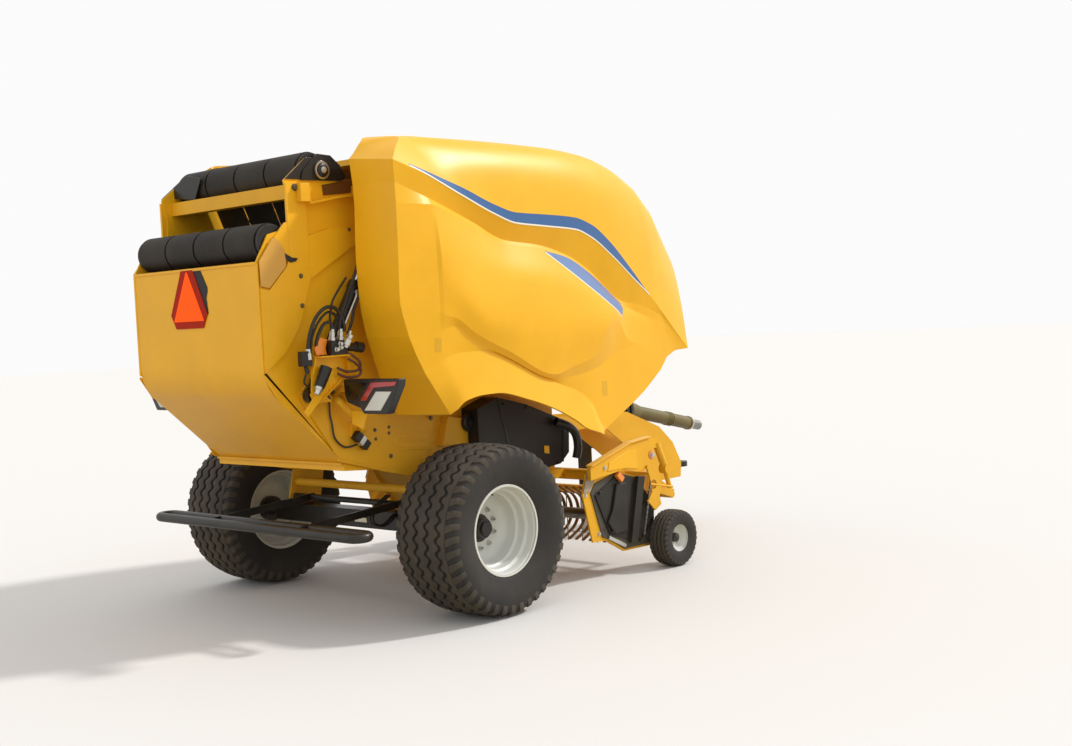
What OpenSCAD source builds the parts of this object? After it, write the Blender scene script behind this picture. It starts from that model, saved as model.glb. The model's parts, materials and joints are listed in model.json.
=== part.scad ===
// Variable-chamber round baler. Millimetres, +X forwards to the hitch, +Y to the left, +Z up.
// Side-view places are measured from the ground point under the middle of the axle.

/* [Wheels] */
// Distance between the middles of the main tyres
track = 2213; // [2200:1:2240]
// Outside diameter of a main tyre over its lugs
tyre_d = 1058; // [1040:1:1070]
// Width of a main tyre
tyre_w = 506; // [480:1:520]
// Diameter of the main rim's flange
rim_d = 566; // [540:1:590]
// Outside diameter of a gauge tyre
gauge_d = 400; // [380:1:410]
// Width of a gauge tyre
gauge_w = 150; // [130:1:160]
// Distance between the middles of the gauge tyres
gauge_track = 2470; // [2460:1:2500]

/* [Chamber] */
// Width of the bale chamber between its walls
chamber_w = 1256; // [1230:1:1270]
// Thickness of the chamber walls
wall = 12; // [8:1:14]
// Height of the tailgate's rear panel above its diagonal
panel_top_z = 2215; // [2190:1:2225]
// Distance of the rear panel behind the axle
panel_x = 1240; // [1230:1:1260]
// Radius of the bend in the rear panel
panel_bend_r = 300; // [200:1:380]
// Radius of the belt rollers
roller_r = 104; // [90:1:108]
// Thickness of the belts
belt_t = 8; // [5:1:10]
// Number of belts side by side
belts = 4; // [3:1:5]

/* [Shields] */
// Height of the roof
roof_z = 2962; // [2940:1:2990]
// Half width of the machine at the shields' bulge
shield_y = 1245; // [1230:1:1260]
// Thickness of a side shield
shield_t = 14; // [10:1:18]
// Distance of a shield's inner edge from the middle
shield_in = 782; // [778:1:790]

/* [Drawbar] */
// Reach of the hitch eye in front of the axle
hitch_x = 3600; // [3560:1:3680]
// Height of the hitch eye above the ground
hitch_z = 470; // [450:1:490]
// Diameter of the hole in the hitch eye
eye_d = 50; // [40:1:56]
// Half width of the drawbar outside its cheeks
tongue_y = 200; // [180:1:215]
// Diameter of the drive shaft's guard tube
guard_d = 110; // [96:1:116]

/* [Pickup] */
// Half width of the pickup outside its side plates
pickup_y = 1110; // [1100:1:1120]
// Radius of the reel at its tine tips
reel_r = 205; // [190:1:208]
// Number of tine bars
tine_bars = 4; // [4:1:5]
// Number of tines on each bar
tines = 16; // [12:1:18]

/* [Hidden] */
$fn = 48;

yellow = "#F2B21C";
black = "#1E1C1A";
belt_black = "#2B2927";
tyre_black = "#35322F";
rim_white = "#D5D8D8";
steel = "#8C8C88";
olive = "#7A6A30";
signal_red = "#C8281E";

gap = 6;
axle_z = tyre_d / 2;
side_y = chamber_w / 2 + wall;
side_mid = side_y - wall / 2;
wing_mid = side_y + gap + wall / 2;
wing_y = wing_mid + wall / 2;
sign_t = 8;
shaft_start = [2960, 985];
shaft_slope = 12.4;
shaft_len = 960;
yoke_r = 42;
front_reach = shaft_start.x + shaft_len * cos(shaft_slope) + yoke_r * sin(shaft_slope);
axle_x = -(front_reach - panel_x - sign_t) / 2;

// Tailgate pivot and the split between the tailgate and the front of the chamber
pivot = [100, 2620];
split_low = [-330, 914];
split_high = [60, 2500];
lip = [-689, 1000];
lip_h = 50;
panel_angle = 42.2;

upper_roller = [-789, 2755];
lower_roller = [-1112, 2328];
idler_roller = [-590, 2330];
foot_roller = [-610, 1105];
beam = [-907, 2628];
beam_size = [70, 84];
post_y = side_y + 62;

// Tailgate cylinders, drawn closed
cyl_y = 718;
cyl_foot = [-965, 1430];
cyl_head = [-300, 2550];
barrel_r = 40;
rod_r = 20;
barrel_l = 760;

drum_low = [300, 1010];
drum_high = [560, 1190];
belt_low = [600, 1440];
belt_top = [330, 2715];
belt_front = [960, 2330];
front_roller_r = 84;

reel = [1520, 372];
pickup_pivot = [1050, 720];
pickup_bar = [1330, 690];
guard_pivot = [1560, 620];
guard_bar = [2020, 470];
gauge = [1790, gauge_d / 2];
rotor = [1090, 590];
rotor_r = 200;
ramp_pivot = [-90, 655];
ramp_bar = [-885, 605];
ramp_y = 1030;
jack = [2700, 320];
lamp_x = -770;
lamp_z = [1310, 1512];
lamp_y = [815, 1300];

function arc(c, r, a0, a1, n) =
    [for (i = [0 : n]) let (a = a0 + (a1 - a0) * i / n) c + r * [cos(a), sin(a)]];
function split_x(z) =
    split_low.x + (split_high.x - split_low.x) * (z - split_low.y) / (split_high.y - split_low.y);

module placed() translate([axle_x, 0, 0]) children();
module both() { children(); mirror([0, 1, 0]) children(); }
// A side-view outline as a plate whose middle plane is at y
module plate(y, t) translate([0, y + t / 2, 0]) rotate([90, 0, 0]) linear_extrude(t) children();
// A round bar across the machine
module bar_y(at, r, l, y = 0) translate([at.x, y, at.y]) rotate([90, 0, 0]) cylinder(h = l, r = r, center = true);
// A round bar between two points
module rod(a, b, r) {
    d = b - a;
    translate(a) rotate([0, acos(d.z / norm(d)), atan2(d.y, d.x)]) cylinder(h = norm(d), r = r);
}

// Front line of the chamber walls, which the net box sits on
front_line = [[1990, 1560], [1990, 1950], [1900, 2240], [1720, roof_z - 462]];
roof_sheet = 40;
roof_span = [190, 1290];

module frame_wall() plate(side_mid, wall)
    polygon(concat(
        [[split_x(940) + gap, 940], [-90, 850], [-150, axle_z + 71], [130, axle_z + 71], [180, 840], [600, 790],
         [860, 400], [1090, 325], [1300, 345], [1300, 430], [1230, 560], [1230, 1230], [1700, 1450]],
        front_line,
        [[1400, roof_z - 172], [roof_span[1] - 60, roof_z - roof_sheet], [roof_span[0], roof_z - roof_sheet],
         [split_high.x + gap, roof_z - 172], [split_high.x + gap, split_high.y]]));

module frame_wing() {
    plate(wing_mid, wall) polygon([[-718, 1004], [-340, 900], [-60, 830], [60, 1180], [-560, 1520],
        [-950, 1490], [-1000, 1440], [-980, 1392]]);
    plate((side_y + wing_y - wall) / 2, gap) polygon([[-190, 960], [-70, 880], [20, 1100], [-150, 1200]]);
}

ear_out = cyl_y + 42;
cross_front = 1230;
module cylinder_bracket() {
    bar_y(cyl_foot, 18, ear_out - wing_y, (ear_out + wing_y) / 2);
    plate(ear_out + 5, 10) polygon([[-1010, 1440], [-985, 1385], [-860, 1385], [-850, 1410], [-960, 1480]]);
    translate([-880, wing_y, 1388]) cube([20, ear_out - wing_y, 16]);
}

module main_frame() placed() color(yellow) {
    both() {
        frame_wall();
        frame_wing();
        cylinder_bracket();
        bar_y(pickup_pivot, 20, gap + wall + 8, side_y + (gap + wall + 8) / 2);
    }
       both() plate(side_y + 30, 60) polygon([[88, 1020], [320, 1014], [325, 1175], [147, 1206]]);
    bar_y([-60, 750], 28, 2 * (side_y - wall / 2));
    bar_y(pivot, 30, 2 * (wing_y + 10));
    translate([cross_front - 120, wall - side_y, 925]) cube([120, 2 * (side_y - wall), 135]);
    translate([1400, wall - side_y, roof_z - 272]) cube([80, 2 * (side_y - wall), 60]);
    for (c = [drum_low, drum_high, belt_low, belt_top, belt_front]) bar_y(c, 25, 2 * (side_y - wall / 2));
}

hinge_at = [220, 720];
hinge_w = 50;
hinge_y = shield_in - 4;
hinge_z = roof_z + 9;
roof_y = shield_in - gap - 2;
module roof_cover() placed() color(yellow) {
    plate(0, 2 * roof_y) polygon(concat(
        [[roof_span[0], roof_z - roof_sheet], [roof_span[0], roof_z]],
        arc([roof_span[1], roof_z - 640], 640, 90, 45, 6),
        arc([roof_span[1], roof_z - 640], 640 - roof_sheet, 45, 90, 6)));
    both() for (x = hinge_at) {
        translate([x - hinge_w, roof_y - 60, roof_z - 1]) cube([2 * hinge_w, 46, 6]);
        for (k = [-1, 1]) translate([x + k * (hinge_w - 12) - 12, hinge_y, hinge_z])
            rotate([0, 90, 0]) cylinder(h = 24, r = 8);
        for (k = [-1, 1]) translate([x + k * (hinge_w - 12) - 12, roof_y - 16, roof_z - 1])
            cube([24, hinge_y - roof_y + 16, 10]);
        translate([x - hinge_w, hinge_y, hinge_z]) rotate([0, 90, 0]) cylinder(h = 2 * hinge_w, r = 4);
    }
}

box_y = side_y + 90;
lid_y = side_y + 40;
lid_hinge = [2146, 2046];
module net_box() placed() color(yellow) {
    plate(0, 2 * box_y) polygon(concat(
        [[1770, roof_z - 362], [2010, 2300], [2130, 1960], [2130, 1600]], front_line));
    both() plate(lid_y - 30, 20) difference() {
        polygon([[2088, 2080], [2128, 1966], [2158, 2030], [2150, 2062]]);
        translate(lid_hinge) circle(r = 8.3);
    }
}

module net_box_lid() placed() color(yellow) {
    difference() {
        plate(0, 2 * lid_y) polygon([[2138, 2040], [2152, 2040], [2152, 1640], [2138, 1640]]);
        both() plate(lid_y - 30, 32) translate([2100, 1950]) square([100, 120]);
    }
    bar_y(lid_hinge, 8, 2 * lid_y);
}

// The drawbar's cheek, seen from the side
function tongue_outline() = [[cross_front, 925], [2330, 925], [2760, 640], [3050, 400], [3330, 400], [3345, 520],
    [3240, 700], [3060, 850], [2640, 1010], [cross_front, 1060]];

module drawbar() placed() color(yellow) {
    both() plate(tongue_y - 8, 16) polygon(tongue_outline());
    translate([cross_front, -tongue_y, 925]) cube([30, 2 * tongue_y, 130]);
    translate([2480, 8 - tongue_y, 900]) cube([330, 2 * tongue_y - 16, 30]);
    translate([3060, 8 - tongue_y, 401]) cube([261, 2 * tongue_y - 16, 60]);
}

module hitch_eye() placed() color(black) {
    difference() {
        union() {
            translate([3321, -50, hitch_z - 22]) cube([hitch_x - 3321 - 40, 100, 44]);
            translate([hitch_x, 0, hitch_z - 22]) cylinder(h = 44, r = eye_d / 2 + 38);
            translate([3321, -90, 405]) cube([24, 180, 120]);
        }
        translate([hitch_x, 0, hitch_z - 40]) cylinder(h = 80, r = eye_d / 2);
    }
}

module on_shaft() placed() translate([shaft_start.x, 0, shaft_start.y]) rotate([0, 90 + shaft_slope, 0]) children();

module gearbox() color(black) {
    placed() translate([2490, -140, 930]) cube([310, 280, 210]);
    on_shaft() translate([0, 0, -190]) cylinder(h = 190, r = 45);
}

module pto_guard() on_shaft() color(olive) difference() {
    union() {
        cylinder(h = shaft_len - 130, r = guard_d / 2);
        translate([0, 0, -85]) cylinder(h = 150, r1 = 84, r2 = guard_d / 2 + 4);
    }
    translate([0, 0, -90]) cylinder(h = 100, r = 45.3);
    translate([0, 0, 5]) cylinder(h = shaft_len, r = guard_d / 2 - 8);
}

module pto_shaft() on_shaft() color(steel) {
    translate([0, 0, 0.5]) cylinder(h = shaft_len - 110, r = 26);
    difference() {
        translate([0, 0, shaft_len - 110]) cylinder(h = 110, r = yoke_r);
        translate([0, 0, shaft_len - 60]) cylinder(h = 70, r = 17.5);
    }
}

module axle_beam() placed() color(black) {
    translate([-60, -track / 2 + 210, axle_z - 60]) cube([120, track - 420, 120]);
    both() {
        bar_y([0, axle_z], spindle_r, 250, track / 2 - 85);
        translate([-90, side_mid - 50, axle_z + 59]) cube([180, 100, 12]);
    }
}

module feeder_covers() placed() color(black) both() {
    plate(side_y + 75, 150) polygon([[330, 1000], [330, 1240], [520, 1300], [800, 1230], [1180, 1090],
        [1230, 1000], [1220, 860], [1130, 790], [900, 770], [620, 840]]);
}

module feeder_rotor() placed() color(steel) {
    bar_y(rotor, 30, 2 * (side_y - wall) - 0.6);
    bar_y(rotor, 60, 2 * (side_y - wall - 20));
    for (i = [0 : 8]) bar_y(rotor, rotor_r - 40, 12, (i - 4) * 130);
}

module feeder_floor() placed() color(yellow)
    plate(0, 2 * (side_y - wall)) polygon([[650, 780], [900, 420], [1100, 350], [1300, 370], [1300, 355],
        [1090, 335], [890, 408], [635, 775]]);

module front_rollers() placed() color(black) {
    difference() {
        union() {
            for (c = [drum_low, drum_high]) bar_y(c, roller_r, 2 * (side_y - wall - 6));
            for (c = [belt_low, belt_top, belt_front]) bar_y(c, front_roller_r, 2 * (side_y - wall - 6));
        }
        for (c = [drum_low, drum_high, belt_low, belt_top, belt_front]) bar_y(c, 25.3, 2 * side_y);
    }
}

belt_pitch = (chamber_w - 40) / belts;
belt_gap = 14;
// The slots between the belts
module belt_slots() for (i = [1 : belts - 1])
    plate((i - belts / 2) * belt_pitch, belt_gap) translate([-1500, 500]) square([3000, 3000]);

module front_belts() placed() color(belt_black) difference() {
    plate(0, belts * belt_pitch - belt_gap)
        hull() for (c = [belt_low, belt_top, belt_front]) translate(c) circle(r = front_roller_r + belt_t);
    plate(0, chamber_w)
        hull() for (c = [belt_low, belt_top, belt_front]) translate(c) circle(r = front_roller_r + 0.3);
    belt_slots();
}

// A lamp seen from behind, as shares of its width and height from its inner lower corner
lamp_outline = [[0, 1], [1, 1], [0.98, 0.8], [0.76, 0], [0.34, 0], [0.29, 0.16], [0.05, 0.32], [0.01, 0.55]];
module tail_lamps() placed() color(black) both()
    translate([lamp_x + 30, lamp_y[0], lamp_z[0]]) rotate([90, 0, -90]) mirror([1, 0, 0]) linear_extrude(60)
        polygon([for (p = lamp_outline) [p.x * (lamp_y[1] - lamp_y[0]), p.y * (lamp_z[1] - lamp_z[0])]]);

module lamp_brackets() placed() color(yellow) both()
    translate([lamp_x + 30, wing_y, lamp_z[0] + 60]) cube([40, lamp_y[1] - wing_y - 200, 60]);

leg_w = 70;
module jack_sleeve() placed() color(black) {
    translate([jack.x, jack.y, 330]) difference() {
        translate([-42, -42, 0]) cube([84, 84, 560]);
        translate([-leg_w / 2 - 0.3, -leg_w / 2 - 0.3, -1]) cube([leg_w + 0.6, leg_w + 0.6, 540]);
    }
    translate([jack.x - 42, tongue_y, 700]) cube([84, jack.y - 42 - tongue_y, 120]);
}

module jack_leg() placed() color(steel) translate([jack.x, jack.y, 0]) {
    translate([-110, -90, 0]) cube([220, 180, 12]);
    translate([-leg_w / 2, -leg_w / 2, 12]) cube([leg_w, leg_w, 500]);
}

cyl_dir = (cyl_head - cyl_foot) / norm(cyl_head - cyl_foot);
cyl_len = norm(cyl_head - cyl_foot);
cyl_tilt = atan2(cyl_dir.x, cyl_dir.y);
module on_cylinder() placed() translate([cyl_foot.x, cyl_y, cyl_foot.y]) rotate([0, cyl_tilt, 0]) children();

module barrel() on_cylinder() color(black) difference() {
    union() {
        rotate([90, 0, 0]) cylinder(h = 50, r = 44, center = true);
        translate([0, 0, 30]) cylinder(h = barrel_l - 30, r = barrel_r);
    }
    rotate([90, 0, 0]) cylinder(h = 60, r = 18.3, center = true);
    translate([0, 0, 100]) cylinder(h = barrel_l, r = rod_r + 0.3);
}

module rod_piece() on_cylinder() color(steel) {
    translate([0, 0, 110]) cylinder(h = cyl_len - 130, r = rod_r);
    translate([0, 0, cyl_len]) rotate([90, 0, 0]) cylinder(h = 46, r = 40, center = true);
}

module barrel_left() barrel();
module barrel_right() mirror([0, 1, 0]) barrel();
module rod_left() rod_piece();
module rod_right() mirror([0, 1, 0]) rod_piece();

module valve_block() placed() color(black)
    translate([-860, -wing_y - 40, 1400]) cube([80, 40, 90]);

// Rear panel in side view, offset inwards by d
function panel_line(d) = let (
        a = panel_angle,
        corner = [-panel_x, lip.y + (panel_x + lip.x) * tan(a)],
        r = panel_bend_r - d,
        k = panel_bend_r * tan((90 - a) / 2),
        c = [-panel_x + panel_bend_r, corner.y + k])
    concat([[-panel_x + d, panel_top_z]], arc(c, r, 180, 270 - a, 8),
        [lip + d * [sin(a), cos(a)], [lip.x + d, lip.y - lip_h]]);

arm_t = 22;
flange_t = 18;
module tailgate_shell() placed() color(yellow) {
    plate(0, 2 * side_y) polygon(concat(panel_line(0),
        [for (i = [len(panel_line(wall)) - 1 : -1 : 0]) panel_line(wall)[i]]));
    both() plate(side_mid, wall) polygon(concat(
        panel_line(1),
        [[split_low.x - gap - 60, 925], [split_x(1010) - gap, 1010], [split_x(2480) - gap, 2480], [-60, 2580], [-640, 2700],
        [-690, 2790], [-740, 2820], [-850, 2820], [-1014, 2685], [-978, 2540], [-985, 2440], [-1040, 2400], [-1150, 2370]]));
    both() {
        plate(wing_mid, wall) difference() {
            polygon([[-500, 2440], [-420, 2360], [40, 2540], [160, 2600], [150, 2670], [60, 2690], [-480, 2590]]);
            translate(pivot) circle(r = 30.3);
        }
        plate((side_y + wing_y - wall) / 2, gap) polygon([[-470, 2460], [-400, 2400], [-100, 2510], [-120, 2560], [-460, 2560]]);
                      plate(side_y + 8, 16) polygon([[-1115, 2355], [-1030, 2440], [-1013, 2442], [-1013, 2240], [-1061, 2276],
            [-1100, 2318]]);
        plate(side_y + flange_t / 2, flange_t) polygon([[-1234, 2060], [-1171, 2050], [-1042, 2180], [-1014, 2232],
            [-1014, 2668], [-872, 2668], [-872, 2106], [-905, 2010], [-960, 1850], [-1075, 1690], [-1234, 1575]]);
        plate(side_y + arm_t / 2, arm_t) polygon([[-872, 2365], [-712, 2408], [-490, 2428], [-380, 2415],
            [-517, 2314], [-873, 2110]]);
        plate(side_y + 30, 60) polygon([[-872, 2545], [-651, 2588], [-450, 2612], [-450, 2626], [-651, 2602],
            [-872, 2560]]);
        bar_y(cyl_head, 26, cyl_y - 24 - wing_y, (cyl_y - 24 + wing_y) / 2);
        for (c = [upper_roller, lower_roller, foot_roller, idler_roller]) bar_y(c, 25, 8, side_y - wall);
    }
}

module tailgate_beam() placed() color(yellow) {
    translate([beam.x - beam_size.x / 2, -side_y + wall, beam.y - beam_size.y / 2])
        cube([beam_size.x, 2 * (side_y - wall), beam_size.y]);
       both() translate([beam.x - beam_size.x / 2, side_y + flange_t, 2560])
        cube([beam_size.x, post_y - side_y - flange_t, 108]);
}

module tailgate_rollers() placed() color(black) difference() {
    union() {
        both() plate(side_y + 9, 18) polygon(end_cover);
        for (c = [upper_roller, lower_roller, foot_roller]) bar_y(c, roller_r, 2 * (side_y - wall - 3));
        bar_y(idler_roller, idler_r, 2 * (side_y - wall - 3));
    }
       both() for (c = [upper_roller, lower_roller, foot_roller, idler_roller]) bar_y(c, 25.3, 20, side_y - wall);
}
end_cover = [[-896, 2690], [-880, 2745], [-770, 2850], [-670, 2845], [-600, 2790], [-547, 2720], [-600, 2695]];

idler_r = roller_r - 20;
// A straight run of belt between two rollers, each passed on its left (1) or right (-1)
module belt_run(a, ra, sa, b, rb, sb) {
    d = b - a;
    m = belt_t / 2;
    c = (sa * (ra + m) - sb * (rb + m)) / norm(d);
    n = d / norm(d) * c + [-d.y, d.x] / norm(d) * sqrt(1 - c * c);
    half = n * (m - 0.8);
    pa = a + n * sa * (ra + m);
    pb = b + n * sb * (rb + m);
    polygon([pa - half, pb - half, pb + half, pa + half]);
}
module tailgate_belts() placed() color(belt_black) difference() {
    plate(0, belts * belt_pitch - belt_gap) {
        for (c = [upper_roller, lower_roller, foot_roller]) translate(c) circle(r = roller_r + belt_t);
        translate(idler_roller) circle(r = idler_r + belt_t);
        belt_run(upper_roller, roller_r, 1, idler_roller, idler_r, 1);
        belt_run(idler_roller, idler_r, 1, lower_roller, roller_r, -1);
    }
    plate(0, chamber_w) {
        for (c = [upper_roller, lower_roller, foot_roller]) translate(c) circle(r = roller_r + 0.3);
        translate(idler_roller) circle(r = idler_r + 0.3);
    }
    belt_slots();
}

module warning_triangle() placed() color(signal_red)
    translate([-panel_x, 45, 1885]) rotate([90, 0, -90])
        linear_extrude(sign_t) polygon([[-205, 0], [-195, -20], [195, -20], [205, 0], [18, 325], [-18, 325]]);

// Lines along a shield, from the roof to the foot.
// Columns: x, drop under the roof, then how far the line lies inside the bulge
roof_lines = [
    [[-518, 12, 463], [-276, 0, 463], [800, 0, 463], [1290, 20, 463], [1570, 80, 463], [1850, 202, 463]],
    [[-480, 34, 270], [-276, 20, 270], [400, 14, 270], [900, 22, 270], [1290, 57, 270], [1570, 130, 270],
     [1850, 258, 275]],
    [[-520, 112, 150], [-276, 172, 150], [0, 202, 135], [400, 232, 125], [900, 252, 125], [1290, 322, 130],
     [1570, 450, 140], [1850, 640, 150]]];
// Columns: x, height, then how far the line lies inside the bulge
side_lines = [
    // shoulder crease
    [[-618, 2770, 95], [-483, 2734, 85], [-77, 2575, 85], [204, 2467, 85], [394, 2414, 85], [640, 2400, 85],
     [969, 2381, 85], [1137, 2328, 85], [1355, 2200, 85], [1560, 2060, 89], [1758, 1927, 93], [1863, 1840, 95]],
    // tuck under the shoulder
    [[-598, 2641, 112], [-346, 2558, 108], [32, 2424, 126], [326, 2312, 132], [636, 2284, 132], [935, 2212, 132],
     [1149, 2110, 132], [1483, 1893, 124], [1640, 1870, 110], [1850, 1800, 104]],
    // top of the bulge
    [[-600, 2560, 104], [-346, 2515, 78], [32, 2395, 112], [326, 2288, 118], [636, 2260, 118], [935, 2186, 118],
     [1149, 2084, 118], [1440, 1885, 110], [1475, 1868, 116], [1850, 1745, 104]],
    [[-610, 2200, 98], [-346, 2200, 52], [-325, 2200, 40], [12, 2100, 32], [608, 2030, 30], [1119, 1920, 40],
     [1350, 1860, 58], [1440, 1830, 80], [1475, 1815, 96], [1850, 1690, 104]],
    // widest line
    [[-620, 1960, 95], [-346, 1990, 50], [-300, 2010, 32], [12, 1830, 2], [608, 1740, 0], [1119, 1720, 4],
     [1300, 1775, 30], [1400, 1760, 66], [1475, 1740, 84], [1850, 1620, 103]],
    // lower edge of the bulge and inner edge of the crescent
    [[-570, 1740, 92], [-346, 1880, 50], [-322, 1860, 42], [-223, 1835, 36], [-73, 1737, 30], [204, 1614, 24],
     [643, 1440, 26], [809, 1480, 28], [1006, 1523, 28], [1190, 1640, 28], [1337, 1735, 50], [1475, 1620, 74],
     [1850, 1540, 100]],
    // foot of the step under the bulge and outer edge of the crescent
    [[-530, 1640, 90], [-346, 1760, 60], [-223, 1790, 56], [-73, 1700, 52], [204, 1578, 48], [665, 1412, 46],
     [884, 1421, 56], [1091, 1455, 62], [1339, 1552, 71], [1475, 1570, 78], [1850, 1500, 98]],
    // flare line
    [[-465, 1520, 90], [-340, 1588, 75], [-166, 1628, 68], [-9, 1629, 62], [156, 1603, 62], [390, 1522, 62],
     [678, 1385, 62], [908, 1305, 62], [1044, 1200, 60], [1098, 1090, 59], [1140, 1060, 61], [1475, 1280, 76],
     [1850, 1450, 96]],
    // foot
    [[-270, 1264, 60], [-191, 1338, 25], [-57, 1362, 15], [68, 1364, 15], [366, 1299, 15], [608, 1219, 15],
     [813, 1123, 15], [905, 1067, 15], [1050, 1022, 15], [1098, 1005, 22], [1125, 1015, 60], [1244, 1074, 66],
     [1623, 1254, 82], [1850, 1397, 92]]];
// Places along the machine where the lines are joined up
joins = [-346, -322, -223, -40, 204, 400, 650, 884, 1006, 1098, 1190, 1337, 1475, 1640, 1850];
// Rear corner, from the inner edge of the rear face to its fold.
// Columns: x and y of the edge, x and y of the fold, the height of each
rear_corner = [
    [[-518, shield_in, roof_z - 21], [-480, shield_in, roof_z - 12]],
    [[-560, 800, roof_z - 57], [-453, 1020, roof_z - 37]],
    [[-610, 800, roof_z - 117], [-540, 1095, roof_z - 110]],
    [[-647, 800, 2808], [-618, 1150, 2770]],
    [[-630, 800, 2655], [-598, 1133, 2641]],
    [[-625, 800, 2540], [-602, 1140, 2520]],
    [[-636, 800, 2220], [-614, 1148, 2200]],
    [[-627, 800, 1965], [-622, 1150, 1960]],
    [[-588, 800, 1750], [-568, 1153, 1740]],
    [[-550, 800, 1640], [-525, 1155, 1640]],
    [[-508, 800, 1517], [-458, 1155, 1520]],
    [[-378, 800, 1264], [-285, 1170, 1262]]];
// Front fold and nose, each with x, height and how far it lies inside the bulge
front_corner = [
    [[2060, roof_z - 352, 463], [2330, roof_z - 612, 463]],
    [[2050, roof_z - 415, 290], [2310, roof_z - 752, 310]],
    [[1995, roof_z - 762, 165], [2262, roof_z - 1082, 190]],
    [[1880, 1825, 96], [2200, 1530, 100]],
    [[1905, 1775, 104], [2180, 1529, 103]],
    [[1925, 1735, 106], [2160, 1528, 105]],
    [[1943, 1690, 107], [2141, 1527, 107]],
    [[1955, 1645, 108], [2122, 1526, 109]],
    [[1962, 1605, 108], [2103, 1525, 110]],
    [[1962, 1575, 107], [2084, 1524, 111]],
    [[1956, 1540, 105], [2065, 1522, 112]],
    [[1940, 1480, 102], [2046, 1518, 113]]];
rows = len(front_corner);
ns = len(joins) + 4;
// A value of a line at x, from one of its columns
function along(line, x, column) = lookup(x, [for (p = line) [p.x, p[column]]]);
function on_line(i, line, roof) = let (x = max(joins[i], line[0].x + 25 * (i + 1)), z = along(line, x, 1))
    [x, shield_y - along(line, x, 2), roof ? roof_z - z : z];
function front_point(p) = [p.x, shield_y - p[2], p[1]];
function skin(i, j) = i < 2 ? rear_corner[j][i]
    : i >= ns - 2 ? front_point(front_corner[j][i - ns + 2])
    : j < 3 ? on_line(i - 2, roof_lines[j], true) : on_line(i - 2, side_lines[j - 3], false);
// The outward direction at a point of the skin, from its neighbours
function outward(i, j) = let (
        fore = skin(min(i + 1, ns - 1), j) - skin(max(i - 1, 0), j),
        down = skin(i, min(j + 1, rows - 1)) - skin(i, max(j - 1, 0)),
        n = cross(fore, down))
    n / norm(n);
shield_points = [for (t = [0, shield_t]) for (i = [0 : ns - 1]) for (j = [0 : rows - 1])
    skin(i, j) - t * outward(i, j)];
function quad(a, b, c, d) = [[a, b, c], [a, c, d]];
shield_faces = concat(
    [for (i = [0 : ns - 2]) for (j = [0 : rows - 2]) let (a = i * rows + j)
        each quad(a, a + 1, a + rows + 1, a + rows)],
    [for (i = [0 : ns - 2]) for (j = [0 : rows - 2]) let (a = ns * rows + i * rows + j)
        each quad(a, a + rows, a + rows + 1, a + 1)],
    [for (i = [0 : ns - 2]) let (a = i * rows, b = ns * rows + i * rows)
        each quad(a, a + rows, b + rows, b)],
    [for (i = [0 : ns - 2]) let (a = i * rows + rows - 1, b = ns * rows + i * rows + rows - 1)
        each quad(a, b, b + rows, a + rows)],
    [for (j = [0 : rows - 2]) let (a = j, b = ns * rows + j) each quad(a, b, b + 1, a + 1)],
    [for (j = [0 : rows - 2]) let (a = (ns - 1) * rows + j, b = ns * rows + (ns - 1) * rows + j)
        each quad(a, a + 1, b + 1, b)]);

module shield() placed() color(yellow) polyhedron(shield_points, shield_faces);
module shield_left() shield();
module shield_right() mirror([0, 1, 0]) shield();

module shield_arms() placed() color(yellow) for (x = hinge_at) difference() {
    union() {
        translate([x - hinge_w + 29, hinge_y, hinge_z]) rotate([0, 90, 0]) cylinder(h = 2 * hinge_w - 58, r = 8);
        translate([x - hinge_w + 29, hinge_y, roof_z + 0.3]) cube([2 * hinge_w - 58, shield_in + 40 - hinge_y, 6]);
    }
    translate([x - hinge_w, hinge_y, hinge_z]) rotate([0, 90, 0]) cylinder(h = 2 * hinge_w, r = 4.3);
}
module shield_arms_left() shield_arms();
module shield_arms_right() mirror([0, 1, 0]) shield_arms();

// A tyre with grooves round it. Each groove is a share of the width from the middle
module tyre(d, w, hole, grooves, deep) rotate([90, 0, 0]) rotate_extrude($fn = 72) polygon(concat(
    [[hole / 2, -w * 0.40], [hole / 2 + 20, -w * 0.44], [d / 2 * 0.80, -w * 0.5], [d / 2 * 0.93, -w * 0.475],
     [d / 2 * 0.985, -w * 0.40]],
    [for (g = grooves) let (r = d / 2 * (1 - 0.05 * g * g)) each [
        [r, g * w - deep * 0.7], [r - deep, g * w - deep * 0.35], [r - deep, g * w + deep * 0.35],
        [r, g * w + deep * 0.7]]],
    [[d / 2 * 0.985, w * 0.40], [d / 2 * 0.93, w * 0.475], [d / 2 * 0.80, w * 0.5], [hole / 2 + 20, w * 0.44],
     [hole / 2, w * 0.40]]));
main_grooves = [-0.27, -0.09, 0.09, 0.27];
gauge_grooves = [-0.22, 0, 0.22];

spindle_r = 45;
hub_bore = spindle_r + 0.3;
module main_rim() rotate([90, 0, 0]) rotate_extrude($fn = 72) polygon([
    [hub_bore, -95], [90, -95], [100, -60], [200, -60], [rim_d / 2 - 60, -100], [rim_d / 2 - 50, -190], [rim_d / 2 - 20, -205],
    [rim_d / 2 - 20, -tyre_w * 0.40 - 6], [rim_d / 2, -tyre_w * 0.40 - 6], [rim_d / 2, tyre_w * 0.40 + 6],
    [rim_d / 2 - 20, tyre_w * 0.40 + 6], [rim_d / 2 - 30, 150], [rim_d / 2 - 45, -60], [200, -30], [100, -30], [90, 40], [hub_bore, 40]]);

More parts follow.
